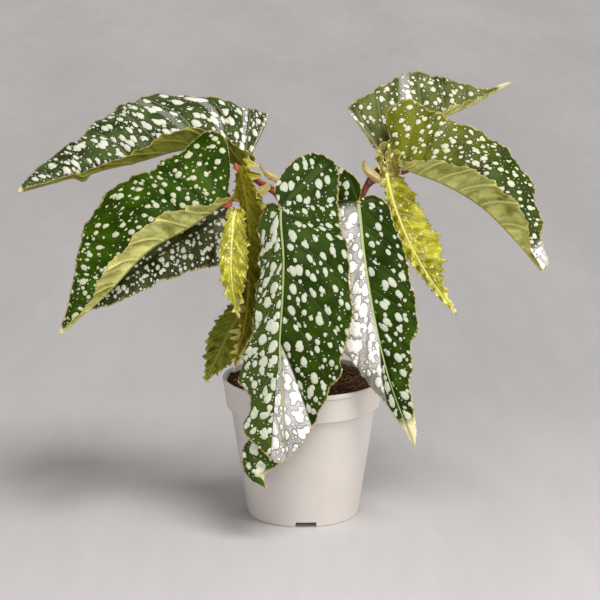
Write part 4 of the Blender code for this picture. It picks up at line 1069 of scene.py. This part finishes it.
def make_cane(name, material):
    """A cane with swollen, ringed joints, and the stalks that leave it."""
    cane = CANES[name]
    draw = random.Random(name)
    shape = bmesh.new()
    line = sample_curve(cane["path"], TUBE_STEP)
    share = run_along(line) / run_along(line)[-1]
    radii = CANE_RADIUS + (CANE_TIP_RADIUS - CANE_RADIUS) * share
    for joint in cane["joints"]:
        radii = radii * (1 + (CANE_JOINT_SWELL - 1) * np.exp(-((share - joint) / CANE_JOINT_LENGTH) ** 2))
        radii = radii * (1 - 0.05 * np.exp(-((share - joint - 0.012) / 0.004) ** 2))
    bumps = np.array([[draw.uniform(-0.015, 0.015) for _ in range(TUBE_SIDES)] for _ in line])
    tube_into(shape, line, radii, TUBE_SIDES, bumps)
    for leaf_name, (leaves_at, *bends) in cane["stalks"].items():
        inside, under, forward = stalk_end(LEAVES[leaf_name])
        start = read_line(leaves_at, share, line)
        route = sample_curve([start, *bends, under, inside + forward * 4.0], TUBE_STEP)
        along = np.linspace(0, 1, len(route))
        spread = STALK_RADIUS + (STALK_END_RADIUS - STALK_RADIUS) * along
        spread = spread * (1 + 0.25 * np.exp(-(along / 0.08) ** 2) + 0.12 * np.exp(-((1 - along) / 0.1) ** 2))
        spread[-3:] *= (0.9, 0.7, 0.45)
        tube_into(shape, route, spread, TUBE_SIDES)
    belong(link_smooth(name + "_skin", baked(shape, name + "_skin"), [material]), name)


def make_stipule(name, material):
    """A papery stipule: a thin keeled sheet with rolled, ragged edges and a hooked tip."""
    foot, tip, face, half_width, hook, bow = STIPULES[name]
    phase = random.Random(name).uniform(0, 6)
    here = np.array(foot, float)
    length = 1.08 * np.linalg.norm(np.array(tip) - here)
    forward = unit(np.array(tip) - here)
    up = unit(np.array(face) - np.dot(face, forward) * forward)
    side = np.cross(forward, up)
    out = 2 * np.arange(STIPULE_COLUMNS + 1) / STIPULE_COLUMNS - 1
    off = np.abs(out)
    top = []
    for along in np.arange(STIPULE_ROWS + 1) / STIPULE_ROWS:
        turn = math.radians(hook) * (smoothstep(along, 0.45, 1.0) - 0.30)
        lean = math.radians(bow) * (along - 0.4)
        heading = unit(forward * math.cos(turn) + side * math.sin(turn) + up * math.sin(lean))
        if along:
            here = here + heading * (length / STIPULE_ROWS)
        across = unit(np.cross(heading, up))
        outward = np.cross(across, heading)
        swell = 0.40 + 0.60 * math.sin(math.pi * min(along * 1.25 + 0.08, 1))
        spread = half_width * max(swell, 0.16) * (1 + 0.10 * math.sin(along * 23 + phase))
        spread *= 1 - 0.85 * smoothstep(along, 0.82, 1.0)
        roll = -0.75 * off ** 1.6 * spread + 1.1 * spread * np.maximum(off - 0.62, 0) ** 1.5
        crease = 0.22 * np.cos(out * 9 + along * 5 + phase)
        edge = 0.55 * np.sin(along * 27 + out * 2 + phase) * off ** 5
        wide = spread * (out * (1 - 0.18 * off) + 0.10 * edge)
        top.append(here + across * wide[:, None] + outward * (roll + crease + edge)[:, None])
    ids, loop = whole_grid(STIPULE_ROWS + 1, STIPULE_COLUMNS + 1)
    piece = thin_shell(name + "_sheet", np.concatenate(top), grid_faces(ids), rim_edges(loop),
                       STIPULE_THICK, {}, [material])
    row, column = np.divmod(top_points(piece.data), STIPULE_COLUMNS + 1)
    uv_map(piece.data, "flat", np.stack([row / STIPULE_ROWS, column / STIPULE_COLUMNS], -1))
    belong(piece, name)


def stipule_material():
    """Dry tan paper with fine lengthwise veins."""
    nodes = Nodes("stipule_paper_look")
    uv = nodes.uv("flat")
    lines = nodes.noise(uv.vector("MULTIPLY", (2.0, 16.0, 1.0)), 1.6, 3.0, 0.6)
    clouds = nodes.noise(uv, 3.0, 3.0)
    base = nodes.mix(clouds.step(0.35, 0.7), srgb(226, 194, 134), srgb(188, 174, 108))
    base = base.mix(lines.step(0.45, 0.7) * 0.5, srgb(156, 128, 66))
    return nodes.finish(0.35, (0.003, 0.002, 0.0008), Base_Color=base, Roughness=0.55,
                        Normal=nodes.bump(lines, 0.0004, 0.7))


def body_radius(height):
    """The pot's outer radius at a height below its collar."""
    return BASE_RADIUS + (BODY_RADIUS_TOP - BASE_RADIUS) * height / (POT_HEIGHT - COLLAR_HEIGHT)


def round_corners(corners, steps=6):
    """An open profile with short arcs for its inner corners. Each corner has a radius, height and size."""
    points = np.array(corners, float)[:, :2]
    out = [points[0]]
    for before, here, after, (*_, size) in zip(points, points[1:], points[2:], corners[1:]):
        first, last = (here + unit(end - here) * min(size, np.linalg.norm(end - here) * 0.45)
                       for end in (before, after))
        for k in range(steps + 1):
            t = k / steps
            out.append(first * (1 - t) ** 2 + here * 2 * t * (1 - t) + last * t ** 2)
    return out + [points[-1]]


def drain_cutter(kind, turn):
    """What cuts one slot out of the pot's foot, or one hole out of its floor."""
    shape = bmesh.new()
    if kind == "slot":
        bmesh.ops.create_cube(shape, size=1.0)
        low = (DRAIN_SLOT_INNER, -DRAIN_SLOT_WIDTH / 2, -8.0)
        high = (BASE_RADIUS + 10, DRAIN_SLOT_WIDTH / 2, DRAIN_SLOT_HEIGHT)
        for vertex in shape.verts:
            vertex.co = [((a + b) / 2 + at * (b - a)) * MM for a, b, at in zip(low, high, vertex.co)]
        top = [edge for edge in shape.edges if all(vertex.co.z > 0 for vertex in edge.verts)]
        bmesh.ops.bevel(shape, geom=top, offset=0.0012, segments=3, affect="EDGES", profile=0.5)
    else:
        bmesh.ops.create_cone(shape, cap_ends=True, segments=32, radius1=DRAIN_HOLE_RADIUS * MM,
                              radius2=DRAIN_HOLE_RADIUS * MM, depth=0.03)
    cutter = link(kind, baked(shape, kind))
    if kind == "slot":
        cutter.rotation_euler.z = turn - math.pi / 2
    else:
        cutter.location = (DRAIN_HOLE_PLACE * math.sin(turn) * MM, -DRAIN_HOLE_PLACE * math.cos(turn) * MM, 0)
    return cutter


def make_pot(material):
    """The turned pot with a rolled lip, a collar and slots under its foot that lead to the drain holes."""
    collar_low = POT_HEIGHT - COLLAR_HEIGHT
    lip_low = POT_HEIGHT - LIP_HEIGHT
    profile = round_corners([
        (0.0, FLOOR, 0), (body_radius(FLOOR) - WALL, FLOOR, 2.0),
        (body_radius(collar_low) - WALL, collar_low - 1.4, 1.5),
        (COLLAR_RADIUS_LOW - WALL, collar_low + 1.4, 1.5), (COLLAR_RADIUS_TOP - WALL, POT_HEIGHT, 0.7),
        (RIM_RADIUS, POT_HEIGHT, 0.8), (RIM_RADIUS, lip_low, 0.7), (COLLAR_RADIUS_TOP, lip_low - 0.3, 0.6),
        (COLLAR_RADIUS_LOW, collar_low, 1.1), (BODY_RADIUS_TOP, collar_low - 0.2, 1.2),
        (body_radius(0.0), 0.0, 1.2), (BASE_RADIUS - 5.0, 0.0, 0.8), (BASE_RADIUS - 6.0, 1.0, 0.8),
        (0.0, 1.0, 0)])
    mesh = bpy.data.meshes.new("pot_shell")
    mesh.from_pydata([(radius * MM, 0, height * MM) for radius, height in profile],
                     [(i, i + 1) for i in range(len(profile) - 1)], [])
    pot = link("pot_shell", mesh)
    screw = pot.modifiers.new("Turn", "SCREW")
    screw.steps = POT_SIDES
    screw.render_steps = POT_SIDES
    screw.use_merge_vertices = True
    screw.merge_threshold = 0.00005
    turns = [DRAIN_SLOT_TURN + i * 2 * math.pi / DRAIN_SLOTS for i in range(DRAIN_SLOTS)]
    cutters = [drain_cutter(kind, turn) for turn in turns for kind in ("slot", "hole")]
    for cutter in cutters:
        boolean = pot.modifiers.new("Cut", "BOOLEAN")
        boolean.operation = "DIFFERENCE"
        boolean.object = cutter
    bpy.context.view_layer.update()
    done = bpy.data.meshes.new_from_object(pot.evaluated_get(bpy.context.evaluated_depsgraph_get()))
    pot.modifiers.clear()
    pot.data = done
    for cutter in cutters:
        bpy.data.objects.remove(cutter)
    done.materials.clear()
    done.materials.append(material)
    done.shade_smooth()
    done.set_sharp_from_angle(angle=math.radians(32))
    belong(pot, "pot")


def pot_material():
    """Matt moulded plastic with soft clouds of tone and faint scuffs."""
    nodes = Nodes("pot_plastic_look")
    place = nodes.place_mm()
    clouds = nodes.noise(place, 0.02, 3.0)
    grain = nodes.noise(place, 1.6, 3.0, 0.6)
    base = nodes.mix(clouds.step(0.35, 0.7), srgb(210, 203, 198), srgb(204, 197, 192))
    scuffs = nodes.noise(place.vector("MULTIPLY", (1.0, 1.0, 0.2)), 0.22, 4.0, 0.6)
    base = base.mix(scuffs.step(0.6, 0.8) * 0.25, srgb(222, 215, 208))
    height = grain * 0.5 + scuffs * 0.3
    return nodes.finish(0.08, (0.004, 0.003, 0.0025), Base_Color=base, Normal=nodes.bump(height, 0.0002, 0.5),
                        Roughness=clouds.span(0.3, 0.7, 0.46, 0.56))


def soil_materials():
    """Dark crumbs, and the paler fibres among them."""
    nodes = Nodes("soil_look")
    place = nodes.place_mm()
    lumps = nodes.noise(place, 0.5, 4.0, 0.7)
    cells = nodes.cells(place, 0.7, dimensions="3D")
    red = nodes.make("ShaderNodeSeparateColor", {0: cells.other("Color")})
    base = nodes.mix(lumps.step(0.3, 0.7), srgb(46, 26, 6), srgb(90, 58, 26))
    base = base.mix(red.step(0.8, 0.95) * 0.6, srgb(136, 92, 50))
    crumbs = nodes.finish(Base_Color=base, Roughness=0.95, Normal=nodes.bump(lumps + cells, 0.0012, 1.0))
    nodes = Nodes("soil_fibre_look")
    tint = nodes.noise(nodes.place_mm(), 0.08, 2.0).step(0.35, 0.65)
    fibres = nodes.finish(Base_Color=nodes.mix(tint, srgb(120, 78, 50), srgb(168, 122, 82)), Roughness=0.85)
    return crumbs, fibres


def make_soil(material, fibre_material):
    """A crumbly soil surface in the pot, with loose crumbs and fibres lying on it."""
    draw = random.Random(21)
    edge = COLLAR_RADIUS_LOW - WALL + (SOIL_TOP - POT_HEIGHT + COLLAR_HEIGHT) / COLLAR_HEIGHT * 2.0 - 0.4
    shape = bmesh.new()

    def height(x, y):
        flat = np.array([x, y])
        rise = 0.9 * waves(flat, 5, 16.0) + 0.7 * waves(flat, 6, 5.0) + 0.45 * waves(flat, 7, 2.2)
        bank = SOIL_BANK * smoothstep(math.hypot(x, y), 0.5 * edge, 0.92 * edge)
        return SOIL_TOP + float(rise) * 0.8 + float(bank)

    def low(x, y):
        return SOIL_TOP - SOIL_DEPTH

    def ring(radius, level):
        turns = [2 * math.pi * k / SOIL_SIDES for k in range(SOIL_SIDES)]
        places = [(radius * math.cos(turn), radius * math.sin(turn)) for turn in turns]
        return [shape.verts.new((x * MM, y * MM, level(x, y) * MM)) for x, y in places]

    def anywhere(reach):
        radius = reach * math.sqrt(draw.random())
        turn = draw.uniform(0, 2 * math.pi)
        return radius * math.cos(turn), radius * math.sin(turn)

    top = shape.verts.new((0, 0, height(0, 0) * MM))
    rings = [ring(edge * r / SOIL_RINGS, height) for r in range(1, SOIL_RINGS + 1)] + [ring(edge - 1.2, low)]
    bottom = shape.verts.new((0, 0, low(0, 0) * MM))
    for a, b in around(rings[0]):
        shape.faces.new((top, a, b))
    for inner, outer in zip(rings, rings[1:]):
        for (a, b), (c, d) in zip(around(inner), around(outer)):
            shape.faces.new((a, c, d, b))
    for a, b in around(rings[-1]):
        shape.faces.new((a, bottom, b))
    for _ in range(SOIL_CRUMBS):
        x, y = anywhere(edge * 0.985)
        size = draw.choice(CRUMB_SIZES)
        made = bmesh.ops.create_icosphere(shape, subdivisions=1, radius=size * MM)["verts"]
        stretch = (draw.uniform(0.6, 1.3), draw.uniform(0.6, 1.3), draw.uniform(0.5, 1.0))
        place = (x, y, height(x, y) + size * 0.25)
        for vertex in made:
            jog = 1 + draw.uniform(-0.25, 0.25)
            vertex.co = [at * longer * jog + to * MM for at, longer, to in zip(vertex.co, stretch, place)]
    belong(link_smooth("soil_surface", baked(shape, "soil_surface"), [material]), "soil")

    shape = bmesh.new()
    for _ in range(SOIL_FIBRES):
        x, y = anywhere(edge - 5)
        way = draw.uniform(0, 2 * math.pi)
        length = draw.uniform(2.5, 9.0)
        bend = draw.uniform(-0.5, 0.5)
        points = []
        for t in (k / 3 - 0.5 for k in range(4)):
            px = x + math.cos(way + bend * t) * length * t
            py = y + math.sin(way + bend * t) * length * t
            points.append((px, py, height(px, py) + draw.uniform(0.1, 1.2)))
        line = sample_curve(points, length / 6)
        tube_into(shape, line, np.full(len(line), draw.uniform(0.12, 0.4)), 5)
    belong(link_smooth("soil_fibres", baked(shape, "soil_fibres"), [fibre_material]))


# Spot layers: cell, least and most radius in millimetres, share of cells, shift, stretch along the veins
BOLD = [(8.6, 1.5, 2.7, 0.88, 0.0, 1.5), (6.2, 0.9, 1.6, 0.45, 317.0, 1.3),
        (3.4, 0.3, 0.65, 0.20, 811.0, 1.0)]
OPEN = [(8.0, 1.3, 2.3, 0.80, 0.0, 1.15), (5.8, 0.7, 1.3, 0.45, 317.0, 1.1),
        (3.2, 0.25, 0.6, 0.30, 811.0, 1.0)]
CLOSE = [(6.4, 1.25, 2.1, 0.90, 0.0, 1.9), (4.6, 0.6, 1.15, 0.50, 317.0, 1.6),
         (2.8, 0.25, 0.55, 0.35, 811.0, 1.0)]
ROUND = [(6.6, 1.2, 2.1, 0.88, 0.0, 1.3), (4.8, 0.6, 1.2, 0.50, 317.0, 1.2),
         (2.8, 0.25, 0.55, 0.35, 811.0, 1.0)]
FINE = [(5.2, 1.4, 2.0, 0.94, 0.0, 1.1), (4.0, 0.7, 1.1, 0.50, 317.0, 1.1), (2.4, 0.2, 0.5, 0.20, 811.0, 1.0)]
SPECKS = [(5.0, 0.5, 1.2, 0.40, 0.0, 1.2), (2.6, 0.2, 0.5, 0.35, 317.0, 1.0)]


def leaf_looks():
    """Upper face, underside and rim for each kind of leaf."""
    rim = leaf_rim("leaf_rim_gold", GOLD_RIM, srgb(134, 90, 48))
    young_rim = leaf_rim("leaf_rim_yellow", srgb(230, 218, 128), srgb(196, 184, 78))
    under = leaf_under("leaf_under_pale", srgb(102, 104, 16), srgb(224, 222, 142), srgb(176, 176, 96),
                       glow=0.3)
    under_olive = leaf_under("leaf_under_olive", srgb(84, 88, 14), srgb(142, 144, 62), srgb(130, 120, 56),
                             glow=0.2)
    bright = srgb(244, 238, 130)
    hazy = {"veil": 0.18, "vein_colour": srgb(140, 150, 104)}
    dull = {"vein_colour": srgb(170, 168, 80), "glow": 0.3, "rim_colour": bright}
    dark = leaf_top("leaf_dark", srgb(27, 44, 0), srgb(49, 72, 2), srgb(192, 197, 175), BOLD,
                    rib_colour=srgb(176, 190, 122))
    grey = leaf_top("leaf_grey", srgb(32, 48, 2), srgb(64, 86, 16), srgb(222, 222, 204), CLOSE,
                    vein_amount=0.55, **hazy)
    mist = leaf_top("leaf_mist", srgb(58, 68, 10), srgb(104, 111, 38), srgb(222, 219, 198), ROUND,
                    vein_amount=0.45, **hazy)
    lit = leaf_top("leaf_lit", srgb(34, 56, 0), srgb(60, 90, 4), srgb(207, 210, 174), OPEN, glow=0.15)
    fine = leaf_top("leaf_fine", srgb(38, 46, 4), srgb(74, 84, 32), srgb(252, 252, 234), FINE, veil=0.2,
                    vein_amount=0.05, rib_colour=srgb(60, 66, 30))
    gold = leaf_top("leaf_gold", srgb(34, 50, 0), srgb(66, 86, 6), srgb(214, 214, 184), ROUND, glow=0.2,
                    shine=0.12, olive=srgb(114, 116, 10))
    young = leaf_top("leaf_young", srgb(156, 152, 0), srgb(248, 242, 66), srgb(255, 250, 180), SPECKS,
                     vein_amount=0.6, vein_colour=bright, rib_colour=bright, rim_colour=bright,
                     roughness=0.26, shine=0.9, glow=0.1, net=0.6, olive=srgb(128, 112, 22), outline=0.1)
    young_under = leaf_under("young_under", srgb(138, 130, 12), srgb(206, 198, 70), bright, bright, glow=0.35)
    olive = leaf_top("leaf_olive", srgb(100, 104, 16), srgb(164, 164, 44), srgb(220, 218, 160), SPECKS,
                     **dull)
    olive_under = leaf_under("olive_under", srgb(62, 58, 0), srgb(112, 106, 16), srgb(120, 112, 22),
                             srgb(222, 208, 124), glow=0.3, olive=srgb(158, 150, 36), rim_width=4.5)
    pale = leaf_top("leaf_pale", srgb(84, 96, 20), srgb(140, 146, 40), srgb(220, 218, 160), SPECKS, **dull)
    pale_under = leaf_under("pale_under", srgb(76, 80, 8), srgb(128, 130, 48), srgb(132, 128, 62),
                            srgb(150, 146, 74), glow=0.3)
    return {"grown": [dark, under, rim], "grown_grey": [grey, under_olive, rim],
            "grown_mist": [mist, under, rim], "grown_lit": [lit, under, rim],
            "grown_fine": [fine, under_olive, rim], "grown_gold": [gold, under, rim],
            "young_bright": [young, young_under, young_rim], "young_olive": [olive, olive_under, young_rim],
            "young_pale": [pale, pale_under, young_rim]}


def make_leaves():
    """Every leaf, in place of its CAD node."""
    looks = leaf_looks()
    for name, leaf in LEAVES.items():
        belong(make_blade(name + "_blade", leaf, looks[leaf["look"]]), name)
    make_curled_tip(looks["grown"])


def against(x, y, z):
    """The turn of a light that shines against a direction."""
    return math.atan2(math.hypot(x, y), z), 0, math.atan2(-y, -x) - math.pi / 2


def soft_lamp(name, place, target, size, power):
    """A rectangular lamp that shines at a target."""
    lamp = bpy.data.lights.new(name, "AREA")
    lamp.shape = "RECTANGLE"
    lamp.size, lamp.size_y = size
    lamp.energy = power
    lamp.color = (1.0, 0.99, 0.97)
    light = link(name, lamp)
    light.location = place
    light.rotation_euler = against(*(np.array(place) - np.array(target)))


def make_stage():
    """A pale floor, painted lighter towards the camera and far off, soft studio light and the camera at the
    photo's angle.
    """
    nodes = Nodes("floor_look")
    place = nodes.object_place()
    deep = place.vector("MULTIPLY", (1.0, 0.2, 1.0))
    tone = nodes.noise(deep, 4.0, 5.0, 0.6) * 0.75 + nodes.noise(deep, 45.0, 4.0, 0.6) * 0.25
    base = nodes.mix(tone.step(0.3, 0.7), srgb(171, 168, 168), srgb(183, 180, 180))
    away = nodes.make("ShaderNodeSeparateXYZ", {0: place}, "Y")
    # Painted light: the floor's colour is brightened up to 1.28 times towards the camera and 1.1 times far
    # off, standing in for the uneven fall of the studio light.
    base = base.scaled(away.span(-0.2, 0.35, 1.28, 1.0)).scaled(away.span(1.2, 3.5, 1.0, 1.10))
    shape = bmesh.new()
    bmesh.ops.create_grid(shape, x_segments=8, y_segments=8, size=14.0)
    floor = link_smooth("floor", baked(shape, "floor"), [nodes.finish(Base_Color=base, Roughness=0.8)])

    world = bpy.context.scene.world or bpy.data.worlds.new("studio")
    bpy.context.scene.world = world
    world.use_nodes = True
    back = world.node_tree.nodes["Background"]
    back.inputs["Color"].default_value = (1.0, 0.985, 0.98, 1.0)
    back.inputs["Strength"].default_value = FILL_STRENGTH
    bpy.context.scene.view_settings.view_transform = "Standard"

    sun = bpy.data.lights.new("key", "SUN")
    sun.energy = KEY_STRENGTH
    sun.angle = KEY_SOFTNESS
    sun.color = (1.0, 0.988, 0.962)
    link("key", sun).rotation_euler = against(*KEY_FROM)
    soft_lamp("front", (-0.5, -2.4, 0.8), (0.0, 0.0, 0.2), (1.2, 1.0), FRONT_POWER)
    soft_lamp("side", (2.0, -0.8, 0.9), (0.0, 0.0, 0.1), (1.4, 1.2), SIDE_POWER)

    data = bpy.data.cameras.new("camera")
    data.sensor_width = 36.0
    data.lens = CAMERA_LENS
    camera = link("camera", data)
    camera.location = [v * MM for v in CAMERA_PLACE]
    camera.rotation_euler = (math.pi / 2 - CAMERA_DOWN, 0, 0)
    bpy.context.scene.camera = camera


make_leaves()
red_stalk = stalk_material("stalk_red_look", srgb(190, 88, 60), srgb(150, 74, 50), srgb(226, 180, 150))
dark_stalk = stalk_material("stalk_dark_look", srgb(136, 58, 40), srgb(96, 48, 34), srgb(200, 160, 130))
make_cane("cane_left", red_stalk)
make_cane("cane_right", dark_stalk)
paper = stipule_material()
for stipule in STIPULES:
    make_stipule(stipule, paper)
make_pot(pot_material())
make_soil(*soil_materials())
make_stage()
